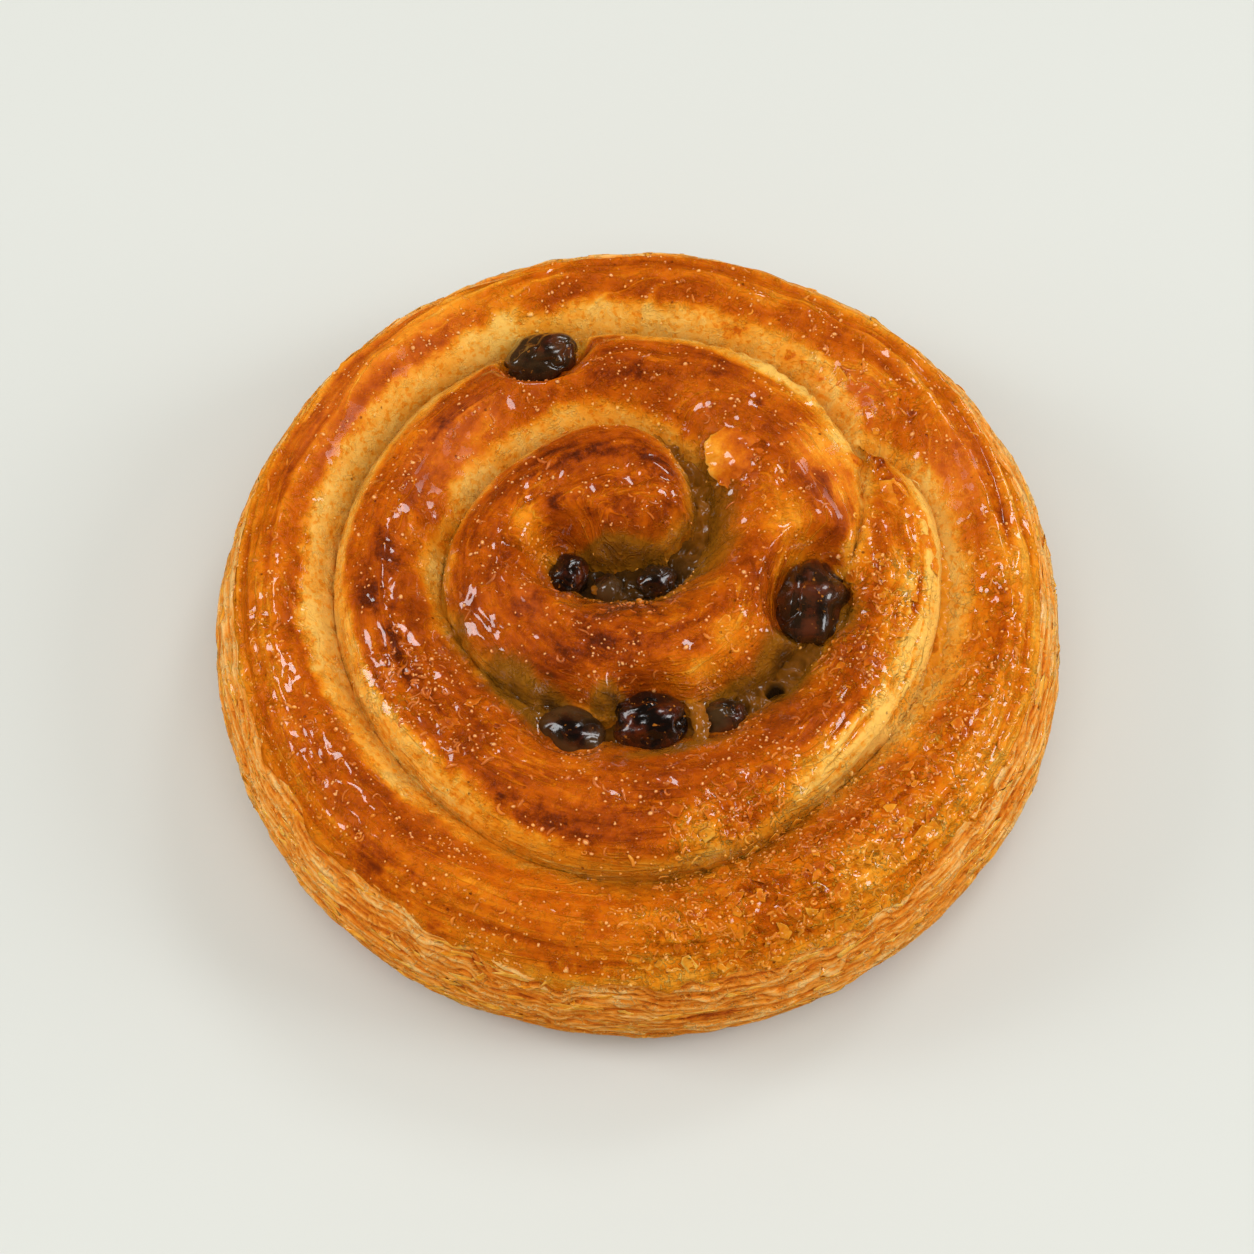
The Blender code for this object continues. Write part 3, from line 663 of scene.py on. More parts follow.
def wrinkling(points):
    return sum(strength * np.exp(-(np.hypot(points[:, 0] - x, points[:, 1] - y) / reach) ** 2)
               for x, y, reach, strength in top["wrinkled"])


def ridges(points, pitch, length, place, sharp=3.0):
    # long rounded ridges that follow the rim and run into each other
    return np.clip(1 - np.abs(swept(points, length, pitch, place)) * sharp, 0, 1)


def terraces(points):
    # how strongly the flank is stepped, and the long ridges of its steps
    radius, bearing = polar(points)
    flank = ease(radius, *top["flank"]) * roundKnots(top["terraces"], np.degrees(bearing))
    return flank, ridges(points, 3.3, 26.0, 12.0, 3.4)


def strandLines(points):
    return lump(points, top["strands"]), ridges(points, 1.3, 9.0, 15.0, 2.6)


form = {  # how high each kind of fine form stands
    "folds": 0.26, "creases": 0.22, "lumps": ((0.18, 2.4, 3), (0.12, 1.1, 4)), "plates": 0.12,
    "worms": 0.46, "pores": 0.30, "lips": 0.30, "strands": 0.45, "warp": 1.5, "least": 0.35,
}


def topRelief(points, found, wrinkled):
    # fine form that stands on the turned top: folds along the turns, lumps and flaking skin
    crest = ease(found["rise"], 0.30, 0.85)
    shift = [cloud(points, 3.1, 5.0), cloud(points, 3.1, 9.0), np.zeros(len(points))]
    warped = points + form["warp"] * np.column_stack(shift)
    folds = (form["folds"] * swept(points, 8.0, 2.3, 1.0)
             + form["creases"] * swept(warped, 5.0, 1.15, 2.0))
    lumps = clouds(points, form["lumps"]) * (0.45 + 0.55 * wrinkled)
    worm = 1 - np.abs(cloud(warped, (1.6, 2.0, 2.0), 6.0)) * 2.6
    ragged = 0.35 * np.column_stack([cloud(points, 1.2, 7.0)] * 3)
    plates = np.array([noise.cell((x, y, z)) for x, y, z in warped / 2.6 + ragged])
    flakes = form["plates"] * (plates - 0.5) + form["worms"] * np.clip(worm, 0, 1) ** 2
    pores = -form["pores"] * np.clip(cloud(points, 1.0, 8.0) - 0.10, 0, 1)
    flank, lines = terraces(points)
    steps = flank * (lines - 0.3)
    lips = form["lips"] * ridges(points, 1.5, 14.0, 13.0, 3.0) * (1 - crest)
    inset, width, height, (first, last) = top["tornLip"]
    off = (found["distance"] - inset - 0.3 * cloud(points, 1.6, 16.0)) / width
    torn = np.exp(-off ** 2) * ~found["outside"]
    torn *= ease(found["angle"], first, first + 8) * (1 - ease(found["angle"], last - 12, last))
    lips += torn * height * (0.7 + 0.6 * cloud(points, 1.3, 17.0))
    share, lines = strandLines(points)
    strands = form["strands"] * share * (lines - 0.3)
    middle, rings, height, width = top["rosette"]
    away = np.hypot(points[:, 0] - middle[0], (points[:, 1] - middle[1]) * 1.15)
    away = away * (1 + 0.22 * cloud(points, 2.0, 18.0)) + 0.25 * cloud(points, 0.9, 19.0)
    lumps += height * sum(np.exp(-((away - reach) / width) ** 2) for reach in rings)
    least = form["least"]
    return (folds * (least + (1 - least) * crest) + lumps + steps + lips + strands
            + lump(points, top["blisters"]) + flakes * wrinkled * (0.4 + 0.6 * crest)
            + pores * (1 - crest))


bakedBy = {"heart": 0.80, "turn": 0.75, "ringFrom": 391,  # how brown, and where the ring begins
           "rim": 0.20, "palesAndPaintedSheen": 0.34, "strands": 0.55, "steps": 0.26,  # how much paler each is
           "edge": 0.9, "edgeSweep": 0.9, "edgeNoise": ((0.7, 2.2, 22), (0.35, 0.9, 25))}


def doneness(points, found):
    # how far each place is baked: 0 pale dough, 1 dark brown
    angle, clear, outside = found["angle"], np.maximum(found["clear"], 0), found["outside"]
    radius, bearing = polar(points)
    bearing = np.degrees(bearing)
    ringFrom = bakedBy["ringFrom"]
    crest = np.where(~outside & (angle < ringFrom), bakedBy["heart"], bakedBy["turn"])
    crest = np.where(outside & (angle > ringFrom), roundKnots(top["ringDone"], bearing), crest)
    width, least = (np.where(outside, alongKnots(top[outer], angle), alongKnots(top[inner], angle))
                    for outer, inner in (("paleOutside", "paleInside"),
                                         ("paleDone", "paleInsideDone")))
    width = clouds(points, bakedBy["edgeNoise"],
                   width + bakedBy["edgeSweep"] * swept(points, 6.0, 3.0, 21.0))
    edge = bakedBy["edge"]
    done = least + (crest - least) * ease(clear, width - edge, width + edge)
    done -= bakedBy["rim"] * ease(radius, *top["rim"]) * roundKnots(top["paleRim"], bearing)
    done -= bakedBy["palesAndPaintedSheen"] * lump(points, top["palesAndPaintedSheen"])
    done += 0.10 * cloud(points, 6.0, 23.0) + 0.09 * swept(points, 7.0, 1.3, 24.0)
    share, lines = strandLines(points)
    done -= bakedBy["strands"] * share * (lines - 0.25)
    flank, lines = terraces(points)
    return done - flank * (bakedBy["steps"] * lines + 0.05)


def makeTop(material):
    count, edge = top["stations"], skinEdge()
    rings = [flankRing(edge * k / top["flankRows"]) for k in range(top["flankRows"] + 1)]
    loose = topLayout()
    made = filled(rings[0][:, :2], loose)
    faces = [tuple(made[3][v][0] for v in face) for face in made[2]]
    points = np.vstack([rings[0], np.column_stack([loose, topHeight(loose)]), *rings[1:]])
    starts = [0] + [count + len(loose) + k * count for k in range(top["flankRows"])]
    faces += bands(starts, count)
    normals = normalsOf(points, faces)
    if normals[:count, 2].mean() < 0:
        normals = -normals
    found = topFields(points[:, :2])
    wrinkled = np.clip(wrinkling(points), 0, 1)
    wrinkled = ease(wrinkled + 0.35 * cloud(points, 4.0, 11.0), 0.15, 0.75)
    relief = topRelief(points, found, wrinkled)
    points = points + normals * relief[:, None]

    # the lip turns under where the skin ends
    last, inward, start = points[-count:], -normals[-count:], len(points)
    lip = [last + inward * top["lip"] * (1 - math.cos(t)) * top["lipIn"]
           - (0, 0, top["lip"] * math.sin(t) * top["lipDown"])
           for t in np.linspace(0, math.pi / 2, top["lipRows"] + 1)[1:]]
    lid = lip[-1] * (top["lidShare"], top["lidShare"], 0) + (0, 0, top["lidHeight"])
    points = np.vstack([points, *lip, lid, [[0, 0, top["lidHeight"]]]])
    starts = [start - count] + [start + k * count for k in range(len(lip) + 1)]
    faces += bands(starts, count)
    faces += fan(starts[-1], count, len(points) - 1)

    # the highest places are pressed down softly
    over, soft = np.clip(points[:, 2] - top["highest"], 0, None), top["highestSoft"]
    points[:, 2] -= over - soft * (1 - np.exp(-over / soft))

    found, below = topFields(points[:, :2]), np.zeros(len(points) - len(relief))
    # olive that deepens towards the bottom of the seam: partly custard-wet dough, partly painted
    # shade
    crease = np.exp(-(np.maximum(found["distance"] - found["notch"], 0) / 2.0) ** 1.3)
    fields = {
        "done": doneness(points, found), "bake": lump(points, top["bakes"]),
        "crease": crease * alongKnots(top["creases"], found["angle"]),
        "wrinkled": np.concatenate([wrinkled, below]), "relief": np.concatenate([relief, below]),
        "olive": lump(points, top["smears"]), "thinGlaze": lump(points, top["thinGlaze"]),
        "course": course(points),
    }
    made = makePiece("doughTop", points, faces, material, fields)
    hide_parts("dough_swirl")
    print("dough top", len(made.data.polygons), "faces")
    return made


side = {  # the layered side: pitch and height of the layers, and the groove under each
    "rows": 84, "start": 0.05, "pitch": 0.88, "layers": 0.46, "groove": 0.30, "grooveAt": 0.82,
    "wander": ((2, 0.9, 55), (5, 0.5, 210)), "lidHeight": 12, "tuck": (0.9, 0.45), "inset": 0.12,
    # unevenness of the layers and of their surface: height, pitch, slice
    "wobble": ((1.9, (11, 11, 7), 31), (0.9, (5, 5, 2), 35), (0.26, (1.7, 1.7, 0.8), 32)),
    "grain": ((0.10, (2.4, 2.4, 0.8), 33), (0.06, (0.9, 0.9, 0.6), 34)), "base": (0.75, 0.5, 0.25),
    # how far it is baked, by bearing
    "tones": ((0, 0.1), (60, 0.2), (120, 0.22), (180, 0.14), (225, 0.22), (270, 0.29), (315, 0.24)),
}


def makeSide(material):
    count, edge = top["stations"], skinEdge() - side["start"]
    rings = [flankRing(edge + (2 - edge) * k / side["rows"]) for k in range(side["rows"] + 1)]
    drops = [np.linalg.norm(b - a, axis=1) for a, b in zip(rings, rings[1:])]
    down = np.cumsum([np.zeros(count)] + drops, 0).ravel()
    points = np.vstack(rings)
    faces = bands([k * count for k in range(side["rows"] + 1)], count)
    normals = normalsOf(points, faces)
    if (normals[:, :2] * points[:, :2]).sum() < 0:
        normals = -normals
    around = np.tile(bearings, side["rows"] + 1)
    # each layer stands out by its own amount, and a groove runs under it
    level = clouds(points, side["wobble"], down + waves(around, side["wander"])) / side["pitch"]
    layer = np.floor(level)
    part = level - layer

    def stand(which):
        return np.array([noise.noise((x, y, z)) for x, y, z in
                         zip(np.cos(around) * 9, np.sin(around) * 9, which * 3.7)])

    share = ease(part, 0.72, 1.0)
    stands = stand(layer) * (1 - share) + stand(layer + 1) * share
    under = [np.exp(-((part - side["grooveAt"]) / width) ** 2) for width in (0.13, 0.16)]
    relief = side["layers"] * stands - side["groove"] * under[0]
    relief += clouds(points, side["grain"])
    relief = (relief - side["inset"]) * np.clip(points[:, 2] / 1.5, 0, 1)
    for k, tuck in enumerate(side["tuck"]):  # the first rows lie under the skin of the top
        relief[k * count:(k + 1) * count] -= tuck
    points = points + normals * relief[:, None]

    inner = points[:count] * (top["lidShare"], top["lidShare"], 0) + (0, 0, side["lidHeight"])
    base = [points[-count:] * (k, k, 0) for k in side["base"]]
    start = len(points)
    points = np.vstack([points, inner, [[0, 0, side["lidHeight"]]], *base, [[0, 0, 0]]])
    faces += bands([0, start], count)
    lidMiddle = start + count
    faces += fan(start, count, lidMiddle)
    baseStarts = [start - count] + [lidMiddle + 1 + k * count for k in range(len(base))]
    faces += bands(baseStarts, count) + fan(baseStarts[-1], count, len(points) - 1)
    below = np.zeros(len(points) - len(down))
    fields = {"level": np.concatenate([level, below]), "stand": np.concatenate([stands, below]),
              "groove": np.concatenate([under[1], below]),
              "tone": roundKnots(side["tones"], np.degrees(polar(points)[1])),
              "course": course(points)}
    made = makePiece("doughSide", points, faces, material, fields)
    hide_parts("dough_swirl")
    print("dough side", len(made.data.polygons), "faces")
    return made


crustTones = [(0.0, (241, 187, 88)), (0.14, (238, 165, 56)), (0.32, (231, 140, 25)),
              (0.50, (213, 111, 9)), (0.64, (192, 88, 4)), (0.78, (162, 67, 4)),
              (0.90, (128, 48, 5)), (1.0, (92, 34, 8))]
sideTones = [(0.0, (245, 190, 112)), (0.14, (243, 165, 74)), (0.32, (234, 138, 33)),
             (0.50, (213, 109, 12))] + crustTones[4:]
crustColours = {"olive": tint(140, 86, 14), "soaked": tint(74, 44, 14), "speck": tint(88, 32, 8),
                "glint": tint(255, 200, 128)}
doughTints = (1.0, 0.35, 0.08)


def ramp(net, tones, at):
    # colours along a value, from stops of place and screen colour
    stops = [(place, tint(*colour)) for place, colour in tones]
    return net.node("ValToRGB", {"stops": stops}, {0: at})


def wormLines(net, at, pitch, sharp):
    # thin raised loops and lines, as skin that has puckered
    spread = net.cloud(at, pitch * 1.5, 2)
    away = abs(net.cloud(at, pitch, 1.5, 0.4, 1.6) - 0.5)
    return net.ease(away, sharp, 0.0) * net.ease(spread, 0.42, 0.58)


def beadDomes(net, at, pitch, reach, crowd):
    # small round blisters in the glaze, crowded here and there
    near = net.ease(net.cells(at, pitch), reach, 0.0)
    return near * net.ease(net.cloud(at, pitch * 3.4, 1), crowd, crowd + 0.05)


# how much each pattern browns the crust, or makes it paler when below 0, and how high it stands;
# relief is painted shade, browner in the hollows of the fine form and paler on its tops
browning = {"wide": 0.40, "fine": 0.46, "fineWhereFlaky": -0.14, "streak": 0.40, "hair": 0.26,
            "lines": -0.26, "threads": -0.18, "relief": -0.16, "beads": -0.14, "poreShade": 0.20,
            "bakes": 0.19, "darkBakes": 0.25}
raising = {"fine": 0.17, "hair": 0.15, "grain": 0.05, "lines": 0.12, "glazedLines": 0.18,
           "beads": 0.20, "threads": 0.16, "streak": 0.18}


def crustMaterial():
    net = Net("glazedCrust")
    at, course = net.place(), net.field("course", "Vector")
    wide, fine = net.cloud(at, 5.0, 4), net.cloud(at, 1.5, 6, 0.7)
    grain = net.cloud(at, 0.45, 3, 0.65)
    streak, hair = net.cloud(course, 1.6, 4, 0.6, 0.4), net.cloud(course, 0.6, 3, 0.6, 0.3)
    flaky, relief, baked = net.field("wrinkled"), net.field("relief"), net.field("done")
    glazed = net.ease(baked, 0.02, 0.30) * net.ease(net.field("thinGlaze"), 0.1, 0.8, 1.0, 0.08)
    lines = wormLines(net, at, 1.5, 0.05) * (0.35 + flaky) + wormLines(net, at, 0.8, 0.07) * 0.35
    thread = abs(net.cloud(course, 2.2, 2, 0.5, 0.5) - 0.5)
    threads = net.ease(thread, 0.030, 0.0) * net.ease(net.cloud(at, 6.0, 1), 0.40, 0.60)
    beads = beadDomes(net, at, 0.95, 0.30, 0.47) + beadDomes(net, at, 0.6, 0.34, 0.52) * 0.6
    beads = beads * glazed
    # painted shade: darker dots in the pale dough that stand for its pores
    poreShade = net.ease(net.cloud(at, 0.8, 2), 0.53, 0.64) * net.ease(baked, 0.42, 0.18)
    bake = net.field("bake") + fine.sway(1.3)
    dark = net.ease(bake, 1.2, 1.8) * browning["darkBakes"]
    bake = net.ease(bake, 0.20, 0.90) * browning["bakes"] + dark
    fineness = browning["fine"] + browning["fineWhereFlaky"] * flaky
    done = (baked + wide.sway(browning["wide"]) + fine.sway(fineness)
            + streak.sway(browning["streak"]) + hair.sway(browning["hair"]) + bake)
    # relief paints shade into the hollows of the fine form and light onto its tops
    patterns = {"lines": lines, "threads": threads, "relief": relief, "beads": beads,
                "poreShade": poreShade}
    for name, pattern in patterns.items():
        done = done + pattern * browning[name]
    colour = ramp(net, crustTones, done)
    olive = net.ease(net.field("olive") + fine.sway(0.8), 0.2, 0.8) * 0.75
    # the crease's olive is partly custard-wet dough and partly painted shade
    olive = olive + net.ease(net.field("crease"), 0.1, 1.0) * 0.50
    colour = net.blend(olive, colour, crustColours["olive"])
    soaked = net.ease(net.field("olive") + fine.sway(0.6), 0.95, 1.35) * 0.85
    colour = net.blend(soaked, colour, crustColours["soaked"])
    # painted shade: dark specks that stand for small pores
    poreShadeSpecks = net.ease(net.cells(at, 2.2), 0.12, 0.06) * net.ease(fine, 0.47, 0.56)
    colour = net.blend(poreShadeSpecks * 0.75, colour, crustColours["speck"])
    smooth = 1 - flaky * 0.5  # puckered skin is glassy between its folds
    height = fine * raising["fine"] + hair * raising["hair"] + grain * raising["grain"]
    height = height * smooth + lines * (raising["lines"] + raising["glazedLines"] * glazed)
    height = (height + beads * raising["beads"] + threads * raising["threads"]
              + streak * raising["streak"])
    rough = net.ease(glazed, 0.0, 1.0, 0.38, 0.17) + grain.sway(0.16) - flaky * 0.04
    return net.finish({"Base Color": colour, "Roughness": rough, "Normal": net.bump(height),
                       **net.gloss(0.06, 0.8, doughTints, 0.15, glazed * 0.95, 0.04, 1.6)})


def sideMaterial():
    net = Net("layeredCrust")
    at, course = net.place(), net.field("course", "Vector")
    fine, grain = net.cloud(at, 1.4, 6, 0.7), net.cloud(at, 0.5, 3, 0.6)
    hair = net.cloud(course, 0.5, 4, 0.6, 0.5)
    sheets = net.cloud(course, 1.6, 5, 0.65, 0.6)
    lines = wormLines(net, at, 1.5, 0.06)
    done = (net.field("tone") - net.field("stand") * 0.35 + fine.sway(0.7) + hair.sway(0.7)
            + sheets.sway(0.8) - lines * 0.25)
    colour = ramp(net, sideTones, done + net.field("groove") * 0.30)
    bump = net.bump(fine * 0.30 + hair * 0.30 + grain * 0.10 + lines * 0.15)
    return net.finish({"Base Color": colour, "Roughness": net.ease(fine, 0.3, 0.7, 0.25, 0.45),
                       "Normal": bump, **net.gloss(0.08, 1.0, doughTints, 0.15, 0.5, 0.06)})


class Skin:
    # the finished surface in millimetres, to set small things on
    def __init__(self, piece, keep):
        mesh = piece.data
        mesh.calc_loop_triangles()
        placed = np.zeros(len(mesh.vertices) * 3)
        mesh.vertices.foreach_get("co", placed)
        corners = np.zeros(len(mesh.loop_triangles) * 3, int)
        mesh.loop_triangles.foreach_get("vertices", corners)
        self.points, corners = placed.reshape(-1, 3) / mm, corners.reshape(-1, 3)
        self.done = np.full(len(self.points), 0.3, np.float32)
        if "done" in mesh.attributes:
            mesh.attributes["done"].data.foreach_get("value", self.done)
        one, two, three = (self.points[corners[:, k]] for k in range(3))
        square = np.cross(two - one, three - one)
        self.area = np.linalg.norm(square, axis=1) / 2
        self.middle = (one + two + three) / 3
        self.normal = square / np.maximum(2 * self.area, 1e-9)[:, None]
        kept = keep(self.middle, self.normal) & (self.area > 1e-6)
        self.corners, self.area = corners[kept], self.area[kept]
        self.middle, self.normal = self.middle[kept], self.normal[kept]
        self.tree = bvhtree.BVHTree.FromPolygons(self.points.tolist(), self.corners.tolist())

    def scatter(self, count, seed, weight):
        # places by area and weight, with the way out of the surface and how far it is baked
        chance = self.area * np.maximum(weight, 0)
        draw = np.random.default_rng(seed)
        chosen = draw.choice(len(chance), count, p=chance / chance.sum())
        mix = draw.dirichlet((1, 1, 1), count)
        corners = self.corners[chosen]
        places = (self.points[corners] * mix[..., None]).sum(1)
        return places, self.normal[chosen], (self.done[corners] * mix).sum(1), draw

    def near(self, place):
        where, out = self.tree.find_nearest(Vector(place))[:2]
        return np.array(where), np.array(out)


def onTop(middle, normal):
    return (normal[:, 2] > 0.05) & (middle[:, 2] > 15.5)


def onSide(middle, normal):
    return (polar(middle)[0] > 42) & (middle[:, 2] > 0.8) & (normal[:, 2] > -0.6)


def spans(normals, turn):
    # two directions along the surface at each place
    first = np.cross(normals, (0.0, 0.0, 1.0))
    first /= np.maximum(np.linalg.norm(first, axis=1), 1e-9)[:, None]
    second = np.cross(normals, first)
    cos, sin = np.cos(turn)[:, None], np.sin(turn)[:, None]
    return first * cos + second * sin, second * cos - first * sin


def makeBits(name, points, faces, material, tone, edge=0, tip=0):
    # tone is how far they are baked; edge says where they are paler, and tip where a painted
    # highlight lies on their tops
    fields = {"tone": tone, "edge": edge, "tip": tip}
    made = makePiece(name, points, faces, material, {key: np.broadcast_to(values, len(points))
                                                     for key, values in fields.items()})
    print(name, len(made.data.polygons), "faces")


beads = {"count": 2600, "seed": 11, "small": 0.085, "spread": 0.42, "largest": 0.34,
         "height": 0.75, "sides": 8, "rows": ((1, -0.35), (1, 0.10), (0.78, 0.62), (0.42, 0.92))}


def makeBeads(skin, weight, material):
    # small round drops and blisters of glaze
    places, normals, done, draw = skin.scatter(beads["count"], beads["seed"], weight)
    count, sides, rows = len(places), beads["sides"], beads["rows"]
    size = beads["small"] * np.exp(np.abs(draw.normal(0, beads["spread"], count))) * 1.25
    size = np.minimum(size, beads["largest"])
    first, second = spans(normals, draw.uniform(0, math.tau, count))
    longer = draw.uniform(1.0, 1.5, count)[:, None]
    points = []
    for reach, height in rows:
        for turn in (math.tau * k / sides for k in range(sides)):
            out = first * math.cos(turn) * longer + second * math.sin(turn)
            points.append(places + (size * reach)[:, None] * out
                          + normals * (size * height * beads["height"])[:, None])
    points.append(places + normals * (size * beads["height"])[:, None])
    each, upper = len(points), (len(rows) - 1) * sides
    shape = bands([k * sides for k in range(len(rows))], sides) + fan(upper, sides, each - 1)
    shape.append(tuple(range(sides)))
    faces = [tuple(v + k * each for v in face) for k in range(count) for face in shape]
    # a painted highlight, strongest on the top row and tip of each bead
    tip = [0.0] * (2 * sides) + [0.1] * sides + [0.8] * (sides + 1)
    makeBits("glazeBeads", np.stack(points, 1).reshape(-1, 3), faces, material,
             np.repeat(done - 0.10, each), tip=np.tile(tip, count))


curls = {"count": 900, "seed": 12, "step": 0.26, "steps": (3, 9), "width": (0.12, 0.26),
         "height": 0.55}


def makeCurls(skin, weight, material):
    # thin raised threads where the glazed skin has puckered
    places, normals, done, draw = skin.scatter(curls["count"], curls["seed"], weight)
    starts, _ = spans(normals, draw.uniform(0, math.tau, len(places)))
    around = [math.radians(v) for v in (-30, 30, 90, 150, 210)]
    points, faces, tone, tip = [], [], [], []
    for place, out, heading, baked in zip(places, normals, starts, done):
        steps = int(draw.integers(*curls["steps"]))
        turn, bend = draw.normal(0, 0.25), draw.normal(0, 0.18)
        width = draw.uniform(*curls["width"])
        first = len(points)
        for k in range(steps):
            across = np.cross(out, heading)
            grown = width * max(0.12, math.sin(math.pi * (k + 0.5) / steps)) ** 0.5
            points += [place + across * math.cos(a) * grown
                       + out * math.sin(a) * grown * curls["height"] for a in around]
            place, out = skin.near(place + heading * curls["step"])
            turn += bend
            heading = heading * math.cos(turn) + np.cross(out, heading) * math.sin(turn)
            heading = heading - out * (heading @ out)
            heading /= max(np.linalg.norm(heading), 1e-6)
        count = len(around)
        for a in range(first, first + (steps - 1) * count, count):
            faces += [(a + i, a + j, a + j + count, a + i + count)
                      for i, j in enumerate((*range(1, count), 0))]
        faces += [tuple(range(start, start + count))
                  for start in (first, first + (steps - 1) * count)]
        tone += [baked - 0.10] * (steps * count)
        # a painted highlight along the top of each thread
        tip += [0.0, 0.02, 0.16, 0.02, 0.0] * steps
    makeBits("skinCurls", points, faces, material, tone, tip=tip)


def makeFlakes(name, skin, weight, look, material):
    # thin torn flakes that lie on the surface, with one edge lifted
    places, normals, done, draw = skin.scatter(look["count"], look["seed"], weight)
    first, second = spans(normals, draw.normal(0, look["stray"], len(places)))
    sides = look["corners"]
    points, faces, tone, edge = [], [], [], []
    for place, along, across, baked in zip(places, first, second, done):
        size = draw.uniform(*look["size"])
        longer = draw.uniform(*look["longer"])
        jag = draw.uniform(*look["jag"], sides)
        lift, lifted = draw.uniform(*look["lift"]), draw.uniform(0, math.tau)
        start, plate = len(points), []
        for reach, share in ((0.0, 0.0), (0.6, 0.45), (1.0, 1.0)):
            for k in range(1 if reach == 0 else sides):
                turn = math.tau * k / sides
                far = size * reach * jag[k]
                spot = place + along * math.cos(turn) * far * longer + across * math.sin(turn) * far
                raised = look["thick"] + lift * share * max(0, math.cos(turn - lifted)) ** 1.5
                plate.append((*skin.near(spot), raised))
                edge.append(share)
        points += [where + up * raised for where, up, raised in plate]
        points += [where + up * (raised - look["thick"] * 1.6) for where, up, raised in plate]
        n = len(plate)
        edge += edge[-n:]
        tone += [baked + draw.normal(look["tone"], 0.07)] * (2 * n)
        inner, outer = start + 1, start + 1 + sides
        for k in range(sides):
            j = (k + 1) % sides
            faces += [(start, inner + k, inner + j), (inner + k, outer + k, outer + j, inner + j),
                      (start + n, n + inner + j, n + inner + k),
                      (n + inner + k, n + inner + j, n + outer + j, n + outer + k),
                      (outer + k, n + outer + k, n + outer + j, outer + j)]
    makeBits(name, points, faces, material, tone, edge)


topFlakes = {"count": 190, "seed": 13, "corners": 7, "size": (0.35, 0.95), "longer": (1.0, 1.8),
             "stray": 2.0, "lift": (0.02, 0.45), "thick": 0.035, "tone": -0.04, "jag": (0.45, 1.3)}
sideFlakes = {"count": 900, "seed": 14, "corners": 9, "size": (0.16, 0.42), "longer": (3.0, 8.0),
              "stray": 0.10, "lift": (0.0, 0.24), "thick": 0.07, "tone": -0.04, "jag": (0.68, 1.15)}


def bitsMaterial():
    net = Net("skinBits")
    at = net.place()
    fine = net.cloud(at, 1.2, 5, 0.7)
    done = net.field("tone") + fine.sway(0.8) - net.ease(net.field("edge"), 0.45, 1.0) * 0.16
    # painted highlight: the tops of beads and threads are mixed towards the glint colour
    colour = net.blend(net.field("tip") * 0.75, ramp(net, crustTones, done), crustColours["glint"])
    return net.finish({"Base Color": colour, "Roughness": 0.3, "Normal": net.bump(fine, 0.8, 0.3),
                       **net.gloss(0.1, 0.6, doughTints, 0.15, 0.9, 0.04, 1.6)})


leaves = {
    # a sheet's edge in order (x, y, and z or how far over the surface when below 5), points
    # inside it, thickness, tone where it is free and where it joins, and what it is made of
    "tornFlap": ([(7.9, 17, 24.1), (8.5, 18.8, 24.4), (10, 19.6, 24.7), (11.8, 19.2, 0.35),
                  (13.8, 18.2, 0.2), (15.4, 16.2, 0), (15.2, 13.6, -0.1), (13.2, 11.8, -0.1),
                  (11, 11.8, 0.1), (9.4, 13.2, 22.8), (8.2, 15, 23.5)],
                 [(11.2, 16.4, 25), (9.6, 16.8, 24.7), (13, 15, 0.3)], 0.36, (0.28, 0.66), "crust"),
    "tornEnd": ([(27.6, 12.6, -0.1), (29.8, 12.9, 0.2), (31.6, 11.2, 0.45), (33.2, 9, 0.4),
                 (34.4, 6.4, 0.45), (35.1, 3.4, 0.4), (35.2, 0.6, 0.35), (34, 1, 0.1),
                 (32.8, 3.6, -0.1), (31.4, 6.4, -0.15), (29.6, 9, -0.15), (27.6, 10.8, -0.15)],
                [(31.8, 8.6, 0.3), (33.8, 4.4, 0.3)], 0.26, (0.16, 0.44), "crust"),
    "custardFlake": ([(5, -14.8, 22), (6.6, -14.6, 22), (7.8, -16.2, 22.4), (8.2, -18.6, 22.6),
                      (7.8, -20.9, 22.2), (6.4, -21.6, 21.8), (5.9, -20, 21.8), (6.2, -18.4, 22.2),
                      (5.8, -16.4, 22.2)],
                     [(7, -17.8, 22.9), (7, -20, 22.6)], 0.45, (0.58, 0.58), "custard"),
}
drops = [  # set glaze: middle, reach, how much lower than round, tone
    ((-4.9, 1.2, 18.2), 0.8, 0.7, 0.52), ((-2.3, 0.4, 17.8), 1.2, 0.6, 0.24),
    ((-0.4, 0.7, 17.7), 1.0, 0.7, 0.18),
]


